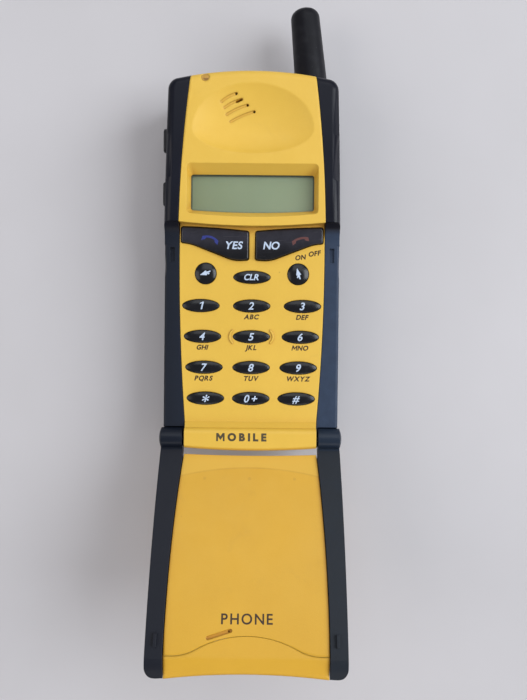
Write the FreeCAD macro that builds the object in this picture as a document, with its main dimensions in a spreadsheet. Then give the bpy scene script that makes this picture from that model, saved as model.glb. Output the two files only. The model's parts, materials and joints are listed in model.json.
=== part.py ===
import FreeCAD, Part
import math
import os

import Sketcher
from FreeCAD import Placement, Rotation, Vector

# Flip mobile phone with a stub antenna, lying on its back with the flip open.
# Millimetres.  +Z points out of the front face and +Y towards the antenna.
# The origin is the middle of the flat back, at the level of the surface that the phone rests on.
# The flip's pieces are drawn closed, lying on the keypad.
# Their Placement turns them about the hinge axis to the open stop.

# ------------------------------------------------------------------ driving dimensions, in millimetres
SIZES = {
    "case_length": (105.0, "handset without its antenna"),
    "case_width": (49.0, "widest, at the keypad"),
    "case_depth": (24.0, "rest face to front face"),
    "shoulder_width": (47.0, "width at the top corners"),
    "foot_width": (48.4, "width at the bottom corners"),
    "side_radius": (2100.0, "barrel curve of the sides"),
    "top_radius": (99.0, "arc of the top end"),
    "foot_radius": (225.0, "arc of the bottom end"),
    "shoulder_y": (49.67, "top corner"),
    "foot_y": (-51.2, "bottom corner"),
    "corner": (3.2, "upright corner radius"),
    "edge": (2.2, "front edge radius"),
    "back_edge": (3.6, "back edge radius"),
    "parting_z": (12.0, "front shell meets rear shell"),
    "wall": (1.5, "shell wall"),
    "face_gap": (0.15, "gap between neighbouring covers"),
    "running": (0.05, "radial clearance of a running fit"),
    # keypad hollow, a shallow arc seen from the side
    "pad_radius": (302.0, "arc of the keypad surface"),
    "pad_mid_y": (-17.7, "lowest point of that arc"),
    "pad_mid_z": (19.3, "its height"),
    "pad_floor": (17.9, "flat underside of the front panel"),
    "step_y": (9.4, "wall above the keypad, at the middle"),
    "step_radius": (190.0, "plan arc of that wall"),
    # hinge
    "hinge_y": (-49.2, "hinge axis"),
    "hinge_z": (20.6, "hinge axis"),
    "knuckle_r": (2.8, "knuckle radius"),
    "knuckle_in": (18.75, "inner end of a knuckle"),
    "knuckle_out": (24.7, "outer end of a knuckle, before its dome"),
    "knuckle_dome": (0.65, "how far the dome stands out"),
    "knuckle_gap": (0.3, "room round a knuckle"),
    "pin_r": (0.8, "hinge pin"),
    "bar_half": (3.0, "bar between the knuckles, half height and width"),
    "bar_round": (1.5, "rounding of the bar"),
    "flip_open": (153.6, "travel of the flip, degrees"),
    # flip layers, measured from the keypad surface towards the user
    "rail_gap": (0.45, "keypad rail to flip rail"),
    "skin_gap": (1.0, "keypad surface to the inner skin"),
    "skin": (0.9, "inner skin"),
    "web": (0.4, "carrier web"),
    "flip_top": (3.4, "keypad surface to the flip's outer face"),
    "flip_near": (4.8, "hinge axis to the flip's near edge, at the sides"),
    "flip_end_radius": (190.0, "hollow arc of the free end"),
    # centre band
    "band_top": (16.8, "half width of the band at the top end"),
    "band_wide": (20.2, "half width beside the display"),
    "band_low": (18.3, "half width at the hinge bar"),
    "band_upper_r": (360.0, "curve of the band above the display"),
    "band_lower_r": (480.0, "curve of the band beside the keys"),
    # earpiece dish
    "dish_y": (36.05, "widest line of the dish"),
    "dish_half_x": (16.7, "half width at the rim"),
    "dish_up": (12.5, "rim above that line"),
    "dish_down": (6.9, "rim below that line"),
    "dish_lift": (3.8, "ellipsoid centre above the face"),
    "dish_height": (6.0, "ellipsoid half height"),
    # display
    "display_y": (18.65, "middle of the window"),
    "display_half_x": (17.1, "half width of the view"),
    "display_half_y": (5.25, "half height of the view"),
    "display_floor": (21.3, "bottom of the sloped frame"),
    # keys
    "key_half_x": (5.1, "oval key cap"),
    "key_half_y": (1.7, "oval key cap"),
    "key_hole": (0.16, "gap round a key cap"),
    "key_proud": (0.7, "key crown above the keypad surface"),
    "key_travel": (0.5, "key travel"),
    "flange_z": (17.1, "underside of a key flange"),
    "flange": (0.7, "flange height"),
    "flange_rim": (0.6, "flange beyond the cap"),
    "row_pitch": (8.63, "row spacing"),
    "row_one_y": (-12.4, "row of the 1 key"),
    "column_one": (14.25, "column offset in the first row"),
    "column_step": (0.52, "columns close in per row"),
    "round_key_r": (2.9, "arrow key radius"),
    "round_key_x": (12.95, "arrow key offset"),
    "round_key_y": (-3.4, "arrow key row"),
    "clear_key_y": (-4.35, "clear key row"),
    # board stack
    "board_top": (15.3, "top of the main board"),
    "board": (1.0, "thickness of the main board"),
    "bay_z": (7.6, "battery meets rear shell"),
    "bay_y": (17.2, "upper end of the battery"),
    # antenna
    "antenna_x": (17.15, "axis at the root"),
    "antenna_y": (46.5, "root"),
    "antenna_z": (12.4, "axis height"),
    "antenna_lean": (5.6, "lean towards the middle, degrees"),
    "antenna_length": (27.6, "sleeve"),
    "antenna_root_r": (4.8, "sleeve radius at the root"),
    "antenna_tip_r": (4.1, "sleeve radius at the tip"),
}

doc = FreeCAD.newDocument("FlipPhone")
sheet = doc.addObject("Spreadsheet::Sheet", "Sizes")
for row, (alias, (value, note)) in enumerate(SIZES.items(), start=1):
    sheet.set(f"A{row}", note)
    sheet.set(f"B{row}", str(value))
    sheet.setAlias(f"B{row}", alias)
doc.recompute()


# ------------------------------------------------------------------ numbers that keep their expression
class Dim:
    """A number together with the spreadsheet expression that gives it."""

    def __init__(self, value, text):
        self.value = float(value)
        self.text = text

    def __add__(self, other):
        other = dim(other)
        return Dim(self.value + other.value, f"({self.text} + {other.text})")

    def __sub__(self, other):
        other = dim(other)
        return Dim(self.value - other.value, f"({self.text} - {other.text})")

    def __mul__(self, other):
        other = dim(other)
        return Dim(self.value * other.value, f"({self.text} * {other.text})")

    def __truediv__(self, other):
        other = dim(other)
        return Dim(self.value / other.value, f"({self.text} / {other.text})")

    def __neg__(self):
        return Dim(-self.value, f"(0 - {self.text})")

    __radd__ = __add__

    def __rsub__(self, other):
        return dim(other) - self

    __rmul__ = __mul__


def dim(number):
    """number as a Dim."""
    return number if isinstance(number, Dim) else Dim(number, f"({float(number):.6f})")


def root(number):
    """Square root of a Dim."""
    return Dim(math.sqrt(number.value), f"sqrt({number.text})")


def size(alias):
    """The sheet's cell with that alias."""
    return Dim(SIZES[alias][0], f"Sizes.{alias}")


# ------------------------------------------------------------------ building blocks
AXES = {
    "X": Rotation(Vector(0, 1, 0), 90),
    "Y": Rotation(Vector(1, 0, 0), -90),
    "Z": Rotation(),
    "-Y": Rotation(Vector(1, 0, 0), 90),
}
counter = {"n": 0}


def add(kind, **bound):
    """A new document object of that kind, with its properties bound to Dims."""
    counter["n"] += 1
    made = doc.addObject(kind, f"step{counter['n']}")
    for name, value in bound.items():
        setattr(made, name, dim(value).value)
        made.setExpression(name, dim(value).text)
    return made


def put(made, x, y, z, turn=None):
    """Places an object, with its position bound to Dims."""
    made.Placement = Placement(Vector(dim(x).value, dim(y).value, dim(z).value), turn or Rotation())
    for axis, value in zip("xyz", (x, y, z)):
        made.setExpression(f"Placement.Base.{axis}", dim(value).text)
    return made


def box(x0, x1, y0, y1, z0, z1):
    """A block between two corners."""
    made = add("Part::Box", Length=dim(x1) - x0, Width=dim(y1) - y0, Height=dim(z1) - z0)
    return put(made, x0, y0, z0)


def rod(radius, length, x, y, z, axis="Z"):
    """A cylinder that starts at a point and runs along an axis."""
    return put(add("Part::Cylinder", Radius=radius, Height=length), x, y, z, AXES[axis])


def fuse(*shapes):
    made = add("Part::MultiFuse")
    made.Shapes = list(shapes)
    made.Refine = True
    return made


def cut(base, *tools):
    made = add("Part::Cut")
    made.Base = base
    made.Tool = tools[0] if len(tools) == 1 else fuse(*tools)
    made.Refine = True
    return made


def common(*shapes):
    made = add("Part::MultiCommon")
    made.Shapes = list(shapes)
    made.Refine = True
    return made


def group(*shapes):
    """Separate solids that share one node."""
    made = add("Part::Compound")
    made.Links = list(shapes)
    return made


def mirrored(base):
    """The mirror image across the middle plane."""
    made = add("Part::Mirroring")
    made.Source = base
    made.Normal = Vector(1, 0, 0)
    return made


def rounded(base, radius, wanted):
    """Rounds the edges whose middle and bounding box satisfy wanted(middle, box)."""
    doc.recompute()
    chosen = []
    for number, edge in enumerate(base.Shape.Edges, start=1):
        first, last = edge.ParameterRange
        if wanted(edge.valueAt((first + last) / 2), edge.BoundBox):
            chosen.append((number, dim(radius).value, dim(radius).value))
    made = add("Part::Fillet")
    made.Base = base
    made.Edges = chosen
    return made


def arc_centre(start, end, radius):
    """Centre of the minor arc from start to end: a positive radius runs counter-clockwise."""
    across = end - start
    middle = (start + end) / 2
    rise = math.sqrt(max(radius * radius - across.Length**2 / 4, 0))
    left = Vector(-across.y, across.x, 0).normalize()
    return middle + left * (rise if radius > 0 else -rise)


def draw(body, plane, offset, path):
    """A closed, constrained sketch on one of the body's origin planes.

    path holds (x, y) for a line to that point, or (x, y, r) for an arc to it; the last point leads back to
    the first.  Every coordinate and radius is a Dim or a number and is bound to the sheet.
    """
    counter["n"] += 1
    sketch = body.newObject("Sketcher::SketchObject", f"outline{counter['n']}")
    support = [f for f in body.Origin.OriginFeatures if f.Role == f"{plane}_Plane"][0]
    sketch.AttachmentSupport = (support, [""])
    sketch.MapMode = "FlatFace"
    sketch.setExpression("AttachmentOffset.Base.z", dim(offset).text)
    corners = [Vector(dim(p[0]).value, dim(p[1]).value, 0) for p in path]
    ends = []
    for index, point in enumerate(path):
        start, end = corners[index - 1], corners[index]
        if len(point) == 3:
            radius = dim(point[2]).value
            centre = arc_centre(start, end, radius)
            first, last = (start, end) if radius > 0 else (end, start)
            angles = [math.atan2(p.y - centre.y, p.x - centre.x) for p in (first, last)]
            circle = Part.Circle(centre, Vector(0, 0, 1), abs(radius))
            number = sketch.addGeometry(Part.ArcOfCircle(circle, angles[0], angles[1]), False)
            ends.append((number, 1, 2) if radius > 0 else (number, 2, 1))
        else:
            number = sketch.addGeometry(Part.LineSegment(start, end), False)
            ends.append((number, 1, 2))
    for index, (number, _, last) in enumerate(ends):
        following, first, _ = ends[(index + 1) % len(ends)]
        sketch.addConstraint(Sketcher.Constraint("Coincident", number, last, following, first))
    for (number, _, last), point in zip(ends, path):
        for kind, axis, value in (("DistanceX", -2, point[0]), ("DistanceY", -1, point[1])):
            if abs(dim(value).value) < 1e-9:
                sketch.addConstraint(Sketcher.Constraint("PointOnObject", number, last, axis))
            else:
                made = sketch.addConstraint(Sketcher.Constraint(kind, -1, 1, number, last, dim(value).value))
                sketch.setExpression(f"Constraints[{made}]", dim(value).text)
        if len(point) == 3:
            bend = dim(point[2])
            made = sketch.addConstraint(Sketcher.Constraint("Radius", number, abs(bend.value)))
            sketch.setExpression(f"Constraints[{made}]", f"abs({bend.text})")
    return sketch


def prism(plane, path, start, end):
    """A padded sketch: plane XY runs along Z, YZ along X and XZ along Y, from start to end."""
    counter["n"] += 1
    body = doc.addObject("PartDesign::Body", f"body{counter['n']}")
    offset = -dim(end) if plane == "XZ" else start
    sketch = draw(body, plane, offset, path)
    pad = body.newObject("PartDesign::Pad", f"pad{counter['n']}")
    pad.Profile = sketch
    pad.setExpression("Length", (dim(end) - start).text)
    body.Tip = pad
    return body


def loft(lower, lower_z, upper, upper_z):
    """A ruled loft between two outlines with the same number of sides."""
    counter["n"] += 1
    body = doc.addObject("PartDesign::Body", f"body{counter['n']}")
    first = draw(body, "XY", lower_z, lower)
    second = draw(body, "XY", upper_z, upper)
    made = body.newObject("PartDesign::AdditiveLoft", f"loft{counter['n']}")
    made.Profile = first
    made.Sections = [second]
    made.Ruled = True
    body.Tip = made
    return body


def rectangle(x0, x1, y0, y1, r, *bow):
    """Path of a rectangle with rounded corners; its y0 side may bow outwards with a radius."""
    r = dim(r)
    x0, x1, y0, y1 = dim(x0), dim(x1), dim(y0), dim(y1)
    return [
        (x1 - r, y0, *bow), (x1, y0 + r, r), (x1, y1 - r), (x1 - r, y1, r),
        (x0 + r, y1), (x0, y1 - r, r), (x0, y0 + r), (x0 + r, y0, r),
    ]


def plate(x0, x1, y0, y1, z0, z1, r):
    """A block with rounded upright corners."""
    return prism("XY", rectangle(x0, x1, y0, y1, r), z0, z1)


def oval(half_x, half_y, x, y, z0, z1):
    """An upright prism with an elliptic outline."""
    curve = put(add("Part::Ellipse", MajorRadius=half_x, MinorRadius=half_y), x, y, z0)
    made = add("Part::Extrusion", LengthFwd=dim(z1) - z0)
    made.Base = curve
    made.DirMode = "Custom"
    made.Dir = Vector(0, 0, 1)
    made.Solid = True
    return made


def ellipsoid(half_x, half_y, half_z, x, y, z, turn=360.0, start=0.0):
    """An ellipsoid, or the part of it that turns from the angle start about Z."""
    made = add("Part::Ellipsoid", Radius1=half_z, Radius2=half_x, Radius3=half_y, Angle3=turn)
    return put(made, x, y, z, Rotation(Vector(0, 0, 1), start))


def coil(radius, wire, pitch, height, x, y, z, turn):
    """A helical spring, swept along a Part helix."""
    helix = add("Part::Helix", Pitch=pitch, Height=height, Radius=radius)
    ring = put(add("Part::Circle", Radius=wire), radius, 0, 0, Rotation(Vector(1, 0, 0), 90))
    doc.recompute()
    made = add("Part::Sweep")
    made.Sections = [ring]
    made.Spine = (helix, ["Edge1"])
    made.Solid = True
    made.Frenet = True
    return put(made, x, y, z, turn)


# ------------------------------------------------------------------ shared shapes
nodes = {}


def node(name, made):
    """Registers a finished sub-part under the name of its node."""
    made.Label = name
    nodes[name] = made
    return made


pad_axis_z = size("pad_mid_z") + size("pad_radius")


def pad_height(y):
    """Height of the keypad surface at y."""
    away = dim(y) - size("pad_mid_y")
    return pad_axis_z - root(size("pad_radius") * size("pad_radius") - away * away)


def above_pad(lift):
    """Everything further than lift above the keypad surface, as one large cylinder across the phone."""
    return rod(size("pad_radius") - lift, 80, -40, size("pad_mid_y"), pad_axis_z, "X")


def case_outline(inset):
    """Outline of the handset from the front, drawn in by inset."""
    top, foot = size("shoulder_width") / 2 - inset, size("foot_width") / 2 - inset
    high, low = size("shoulder_y") - inset, size("foot_y") + inset
    return [
        (foot, low, size("foot_radius")),
        (top, high, size("side_radius")),
        (-top, high, size("top_radius")),
        (-foot, low, size("side_radius")),
    ]


def case_block(z0, z1, inset=0.0):
    """The outline between two heights, with its upright corners rounded."""
    block = prism("XY", case_outline(inset), z0, z1)
    bend = size("corner") - inset
    return rounded(block, bend, lambda mid, bb: bb.XLength < 0.01 and bb.YLength < 0.01)


def band_outline(inset):
    """Outline of the coloured centre band, narrowed by inset on each side."""
    end = size("case_length") / 2 + 2
    wide, low, top = (size(n) - inset for n in ("band_wide", "band_low", "band_top"))
    waist, hip = size("display_y") - 6, size("hinge_y") + 3
    return [
        (low, -end),
        (low, hip),
        (wide, waist, size("band_lower_r")),
        (top, end, size("band_upper_r")),
        (-top, end),
        (-wide, waist, size("band_upper_r")),
        (-low, hip, size("band_lower_r")),
        (-low, -end),
    ]


def step_plan(gap):
    """Plan of the room that the closed flip takes, up to the curved wall above the keypad."""
    half, low = 30.0, -60.0
    reach = size("step_y") - gap
    rise = size("step_radius") - root(size("step_radius") * size("step_radius") - half * half)
    return [(half, low), (half, reach + rise), (-half, reach + rise, -size("step_radius")), (-half, low)]


case_top = size("case_length") / 2
front_block = rounded(
    case_block(size("parting_z"), size("case_depth")),
    size("edge"),
    lambda mid, bb: bb.ZLength < 0.01 and mid.z > 23.9,
)
back_block = rounded(
    case_block(0, size("parting_z")),
    size("back_edge"),
    lambda mid, bb: bb.ZLength < 0.01 and mid.z < 0.1,
)


def inner_room(z0, z1, wall):
    """The handset's inside between two heights."""
    half = size("foot_width") / 2 - wall
    return plate(-half, half, -case_top + 1.9 + wall, case_top - 2.9 - wall, z0, z1, 2.5)


lean = math.radians(SIZES["antenna_lean"][0])
antenna_turn = Rotation(Vector(0, 0, 1), Vector(-math.sin(lean), math.cos(lean), 0))


def on_antenna(made, along):
    """Places a piece on the antenna's axis, a distance along it from the root."""
    ahead = dim(along)
    angle = "Sizes.antenna_lean * 1deg"
    x = Dim(
        SIZES["antenna_x"][0] - ahead.value * math.sin(lean),
        f"(Sizes.antenna_x - {ahead.text} * sin({angle}))",
    )
    y = Dim(
        SIZES["antenna_y"][0] + ahead.value * math.cos(lean),
        f"(Sizes.antenna_y + {ahead.text} * cos({angle}))",
    )
    return put(made, x, y, size("antenna_z"), antenna_turn)


def antenna_room():
    """Clearance for the antenna sleeve in the shells."""
    wide = size("antenna_root_r") + size("face_gap")
    return on_antenna(add("Part::Cylinder", Radius=wide, Height=20), -0.5)


def knuckle_room():
    """The notch at both lower corners where the knuckles turn."""
    clear = size("knuckle_r") + size("knuckle_gap")
    bottom = size("hinge_z") - clear
    inner = size("knuckle_in") - size("face_gap")
    tools = []
    for x0, x1 in ((inner, 30), (-30, -inner)):
        tools.append(box(x0, x1, -60, size("hinge_y"), bottom, 40))
        tools.append(rod(clear, dim(x1) - x0, x0, size("hinge_y"), size("hinge_z"), "X"))
    return tools


# ------------------------------------------------------------------ case
VOLUME_KEYS = {"volume_up_key": 34.6, "volume_down_key": 19.4}
SCREWS = ((20.2, 26.0), (-20.2, 26.0), (21.0, -38.0), (-21.0, -38.0))
VOLUME_Z = 16.0


SWEEP_FOOT = 4.5


def frame_recess():
    """The hollow in the side rails for the closed flip: the keypad arc, then a sweep up to the front face."""
    low, foot, top = -60.0, SWEEP_FOOT, size("step_y") + 1.15
    path = [
        (low, pad_height(low)),
        (foot, pad_height(foot), size("pad_radius")),
        (top, 23.3, 7.3),
        (top, 40),
        (low, 40),
    ]
    return prism("YZ", path, -40, 40)


def side_rails():
    """The frame with its recess: rounded edges beside the keys, full height beside the display."""
    beside_keys = cut(common(front_block, box(-30, 30, -60, SWEEP_FOOT, 10, 40)), frame_recess())
    beside_keys = rounded(
        beside_keys,
        0.7,
        lambda mid, bb: abs(mid.x) > 23.5 and bb.YLength > 40 and mid.z > 18,
    )
    beside_display = cut(common(front_block, box(-30, 30, SWEEP_FOOT, 60, 10, 40)), frame_recess())
    return fuse(beside_keys, beside_display)


def build_front_frame():
    floor = size("pad_floor") - size("face_gap") / 3
    scoops = [
        put(add("Part::Sphere", Radius=15.2), side * 38.15, -1.5, 24.9) for side in (1, -1)
    ]
    nub_slots = [
        box(side * 22.3 - 0.65, side * 22.3 + 0.65, -0.2, 3.8, pad_height(1.8) - 0.6, 30) for side in (1, -1)
    ]
    key_slots = []
    for y in VOLUME_KEYS.values():
        key_slots.append(box(-30, -20, y - 3.55, y + 3.55, VOLUME_Z - 1.45, VOLUME_Z + 1.45))
        key_slots.append(box(-23.1, -18, y - 4.6, y + 4.6, 12, VOLUME_Z + 2.0))
    shell = cut(
        side_rails(),
        prism("XY", band_outline(0), floor, 40),
        prism("XY", band_outline(1.2), 10, 40),
        inner_room(10, 16.9, size("wall")),
        plate(-20.9, 20.9, -44.5, 10.4, 16.0, size("pad_floor") + 0.1, 1.0),
        antenna_room(),
        *knuckle_room(),
        *scoops,
        *nub_slots,
        *key_slots,
    )
    bar = size("bar_half")
    half = size("band_low") - 0.2
    bar_y0, bar_y1 = size("hinge_y") - 1.85, size("hinge_y") + 1.9
    block = box(-half, half, bar_y0, bar_y1, size("parting_z"), size("hinge_z") + bar - 1.5)
    end_wall = cut(
        common(front_block, box(-30, 30, -60, size("hinge_y") + 1.9, 10, floor)),
        *knuckle_room(),
    )
    top_wall = cut(common(front_block, box(-30, 30, case_top - 4.6, 60, 10, floor)), antenna_room())
    bosses = [
        cut(rod(2.4, 16.9 - SIZES["parting_z"][0], x, y, size("parting_z")), rod(0.75, 3.6, x, y, 11.9))
        for x, y in SCREWS
    ]
    bore = size("pin_r") + size("running")
    holes = [
        rod(bore, 13, dim(6.1) if side > 0 else dim(-19.1), size("hinge_y"), size("hinge_z"), "X")
        for side in (1, -1)
    ]
    spring_seat = rod(1.2, 6.2, -half + 3.0, size("hinge_y"), size("hinge_z"), "X")
    lamp_pocket = box(-14.8, -11.6, 46.8, 51.2, 12, 19)
    return cut(fuse(shell, block, end_wall, top_wall, *bosses), *holes, spring_seat, lamp_pocket)


def panel_profile():
    """Side view of what is taken off the centre band: above the keypad arc and round the hinge bar."""
    high = 40.0
    axis_y, axis_z = size("hinge_y"), size("hinge_z")
    bar, bend = size("bar_half"), size("bar_round")
    slope_y = axis_y + bar + 1.6
    far = 14.0
    return [
        (far, pad_height(far), size("pad_radius")),
        (far, high),
        (-60, high),
        (-60, axis_z + bar),
        (axis_y + bar - bend, axis_z + bar),
        (axis_y + bar, axis_z + bar - bend, -bend),
        (slope_y, pad_height(slope_y)),
    ]


SLOTS = (((-8.8, 43.5), (-4.65, 45.8)), ((-8.0, 42.0), (-3.1, 44.4)),
         ((-7.35, 40.2), (-1.55, 42.9)), ((-6.3, 38.3), (0.3, 41.2)))


def capsule(start, end, width, z0, z1):
    """An upright slot with round ends between two points."""
    (ax, ay), (bx, by) = start, end
    length, angle = math.hypot(bx - ax, by - ay), math.degrees(math.atan2(by - ay, bx - ax))
    turn = Rotation(Vector(0, 0, 1), angle)
    side = turn.multVec(Vector(0, width / 2, 0))
    bar = add("Part::Box", Length=length, Width=width, Height=dim(z1) - z0)
    put(bar, ax - side.x, ay - side.y, z0, turn)
    ends = [rod(width / 2, dim(z1) - z0, x, y, z0) for x, y in (start, end)]
    return fuse(bar, *ends)


def curved_slot(start, end, bulge, width, z0, z1):
    """An upright slot that arches by bulge between two points."""
    a, b = Vector(*start, 0), Vector(*end, 0)
    radius = ((b - a).Length ** 2 / 4 + bulge ** 2) / (2 * bulge)
    centre = arc_centre(a, b, -radius)
    out_a, out_b = ((p - centre).normalize() * (width / 2) for p in (a, b))
    cap = width / 2 * 1.03
    path = [
        ((b - out_b).x, (b - out_b).y, -(radius - width / 2)),
        ((b + out_b).x, (b + out_b).y, cap),
        ((a + out_a).x, (a + out_a).y, radius + width / 2),
        ((a - out_a).x, (a - out_a).y, cap),
    ]
    return prism("XY", path, z0, z1)


def dish(extra):
    """The egg-shaped earpiece dish: two half ellipsoids that meet along its widest line."""
    lift, height = size("dish_lift"), size("dish_height")
    rim = root(1 - (lift / height) * (lift / height))
    z = size("case_depth") + lift
    half_x = size("dish_half_x") / rim + extra
    upper = ellipsoid(half_x, size("dish_up") / rim + extra, height + extra, 0, size("dish_y"), z, 180)
    lower = ellipsoid(half_x, size("dish_down") / rim + extra, height + extra, 0, size("dish_y"), z, 180, 180)
    return fuse(upper, lower)


def display_frame():
    """The sloped frame round the display window."""
    half_x, half_y, y = size("display_half_x"), size("display_half_y"), size("display_y")
    inner = rectangle(-half_x, half_x, y - half_y + 0.55, y + half_y, 0.7, 230.0)
    outer = rectangle(-half_x - 1.0, half_x + 1.0, y - half_y - 0.75, y + half_y + 2.65, 1.2, 168.0)
    slope = loft(inner, size("display_floor") - 0.02, outer, size("case_depth") + 0.05)
    view = prism("XY", inner, 15, size("display_floor"))
    seat = box(-18.4, 18.4, y - 6.3, y + 6.3, 15, size("display_floor") - 0.2)
    panel_room = box(-18.4, 18.4, y - 7.4, y + 7.2, 15, 20.05)
    return [slope, view, seat, panel_room]


def call_key_path(grow):
    """Outline of the left call key: level at its outer end, deepest beside the middle."""
    outer, inner = dim(-19.75) - grow, dim(-1.0) + grow
    return [
        (inner, 0.5 - grow),
        (inner, 8.3 + grow),
        (outer, 9.5 + grow, 200.0),
        (outer, 5.1 - grow),
        (-15.6, 4.3 - grow, -11.0),
        (-7.6, 1.25 - grow),
        (-3.2, 0.35 - grow, 9.5),
    ]


def call_key(grow, z0, z1, bend):
    """The left call key's body, with rounded upright corners."""
    block = prism("XY", call_key_path(grow), z0, z1)
    return rounded(block, bend, lambda mid, bb: bb.XLength < 0.01 and bb.YLength < 0.01 and (
        mid.x > -3 or mid.x < -19))


def key_places():
    """Every oval key as name: (x, y)."""
    names = ("key_1", "key_2", "key_3", "key_4", "key_5", "key_6",
             "key_7", "key_8", "key_9", "key_star", "key_0", "key_hash")
    places = {}
    for index, name in enumerate(names):
        row, column = divmod(index, 3)
        reach = size("column_one") - size("column_step") * row
        places[name] = (reach * (column - 1), size("row_one_y") - size("row_pitch") * row)
    places["key_clear"] = (dim(0), size("clear_key_y"))
    return places


ROUND_KEYS = {"key_left": -1, "key_right": 1}


def tactile_arc(side):
    """The raised bracket beside the middle key."""
    y, low = size("row_one_y") - size("row_pitch"), pad_height(-21) - 0.2
    ring = cut(rod(2.45, 0.5, side * 3.85, y, low), rod(2.0, 1.0, side * 3.85, y, low - 0.2))
    return cut(ring, box(-5.2, 5.2, -40, 0, 10, 30))


def build_front_panel():
    gap = size("face_gap")
    room = common(prism("YZ", panel_profile(), -40, 40), prism("XY", step_plan(0), 10, 41))
    holes = []
    for x, y in key_places().values():
        hole = size("key_hole")
        holes.append(oval(size("key_half_x") + hole, size("key_half_y") + hole, x, y, 15, 25))
    for side in ROUND_KEYS.values():
        reach = size("round_key_r") + size("key_hole")
        holes.append(rod(reach, 10, size("round_key_x") * side, size("round_key_y"), 15))
    left = call_key(0.2, 15, 25, 0.7)
    holes += [left, mirrored(left)]
    grooves = [common(curved_slot(a, b, 0.3, 0.75, 15, 30), dish(0.28)) for a, b in SLOTS]
    open_ends = [rod(0.34, 15, b[0], b[1], 15) for a, b in SLOTS if b != SLOTS[1][1]]
    open_ends.append(capsule((-4.55, 43.75), (-3.35, 44.3), 0.7, 15, 30))
    bar = size("bar_half")
    under_bar = box(-30, 30, size("hinge_y") - 2.0, size("hinge_y") + 2.0, 10, size("hinge_z") + bar - 1.4)
    upper_room = plate(-15.3, 15.3, 25.6, 48.4, 10, 19.9, 2.0)
    tactile = [tactile_arc(side) for side in (1, -1)]
    lens = rod(1.05 + SIZES["face_gap"][0] / 3, 15, -13.2, 49.9, 15)
    skin = cut(
        common(front_block, prism("XY", band_outline(gap), size("pad_floor"), 40)),
        room, dish(0), *display_frame(), *grooves, *open_ends, *holes, under_bar, upper_room, lens,
    )
    return fuse(skin, *tactile)


def build_rear_shell():
    bay_y, bay_z = size("bay_y"), size("bay_z")
    hollow = inner_room(bay_z + 1.4, 13, size("wall"))
    upper = plate(-21.2, 21.2, bay_y + 1.6, 47.6, 1.5, 13, 3.0)
    pocket_walls = box(-7.8, 7.8, bay_y + 1.0, 28.4, 0.4, 5.0)
    bosses = [rod(2.4, size("parting_z") - bay_z - 0.2, x, y, bay_z + 0.2) for x, y in SCREWS]
    screw_holes = []
    for x, y in SCREWS:
        low = bay_z if y < 17 else dim(0)
        screw_holes.append(rod(1.0, 14, x, y, -1))
        screw_holes.append(rod(2.0, low + 3.2, x, y, -1))
    shell = cut(back_block, box(-30, 30, -60, bay_y, -1, bay_z), hollow, upper)
    boss_top = [rod(3.2, size("parting_z") - 1.0, x, y, 1.0) for x, y in SCREWS if y > 17]
    openings = [
        box(-6.3, 6.3, 17, 26.9, -1, 3.6),
        box(-3.2, 3.2, 26, 28.0, 1.1, 3.5),
        box(-9.5, 9.5, -60, -46, 9.1, 11.6),
        box(-10.4, 10.4, -11.6, 5.6, bay_z - 1, bay_z + 3),
        rod(3.15, 6, -12.0, 39.0, -1),
        antenna_room(),
        box(-7.2, 7.2, 9.4, 13.6, bay_z - 1, bay_z + 3),
    ]
    sound = [rod(0.45, 4, 2.0 + 2.4 * math.cos(k * math.pi / 3), 41.0 + 2.4 * math.sin(k * math.pi / 3), -1)
             for k in range(6)]
    inside = common(fuse(pocket_walls, *bosses, *boss_top), back_block)
    joint = size("parting_z")
    seam = cut(box(-30, 30, -60, 60, joint - 0.3, joint + 1), case_block(joint - 0.5, joint + 1.5, 0.4))
    return cut(fuse(shell, inside), *openings, *screw_holes, *sound, seam)


def build_battery():
    bay_y, gap = size("bay_y"), size("face_gap")
    top = size("bay_z") - gap
    outer = common(back_block, box(-30, 30, -60, bay_y - gap, -1, top))
    cells_room = plate(-20.9, 20.9, -46.5, 13.2, 1.3, top - 1.2, 1.5)
    grips = [box(side * 24.6 - 0.6, side * 24.6 + 0.6, y, y + 0.9, -1, 20)
             for side in (1, -1) for y in (-8.0, -5.8, -3.6, -1.4, 0.8, 3.0)]
    latch_slot = box(-4.4, 4.4, bay_y - 1.9, bay_y + 1, 1.9, 3.5)
    pad_seats = [box(x - 1.25, x + 1.25, 9.9, 13.0, top - 0.35, 20) for x in (-5.25, -1.75, 1.75, 5.25)]
    node("battery_case", cut(outer, cells_room, *grips, latch_slot, *pad_seats))
    cells = [plate(x + 0.1, x + 10.1, -45.5, 12.6, 1.4, 6.1, 1.2) for x in (-20.4, -10.2, 0.0, 10.2)]
    node("battery_cells", group(*cells))
    pads = [box(x - 1.2, x + 1.2, 9.95, 12.95, top - 0.35, top - 0.05) for x in (-5.25, -1.75, 1.75, 5.25)]
    node("battery_contacts", group(*pads))
    springs = []
    for x in (-5.25, -1.75, 1.75, 5.25):
        springs.append(fuse(
            box(x - 0.6, x + 0.6, 10.2, 12.8, top + 0.02, top + 0.3),
            box(x - 0.6, x + 0.6, 12.5, 12.8, top + 0.02, size("board_top") - size("board")),
        ))
    node("contact_springs", group(*springs))


def build_latch():
    y0, y1 = size("bay_y") + 1.2, 24.6
    button = rounded(box(-6.0, 6.0, y0 - 0.9, y1, 0.35, 3.3), 0.5, lambda mid, bb: mid.z < 0.4)
    ribs = [box(-4.5, 4.5, y, y + 0.55, 0, 1.2) for y in (19.6, 20.9, 22.2)]
    tongue = box(-4.1, 4.1, y0 - 2.5, y0, 2.1, 3.3)
    post = rod(0.45, 1.2, 0, y1, 2.3, "Y")
    node("battery_latch", fuse(button, *ribs, tongue, post))
    node("latch_spring", coil(0.85, 0.14, 0.55, 2.75, 0, y1 + 0.22, 2.3, AXES["Y"]))


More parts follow.
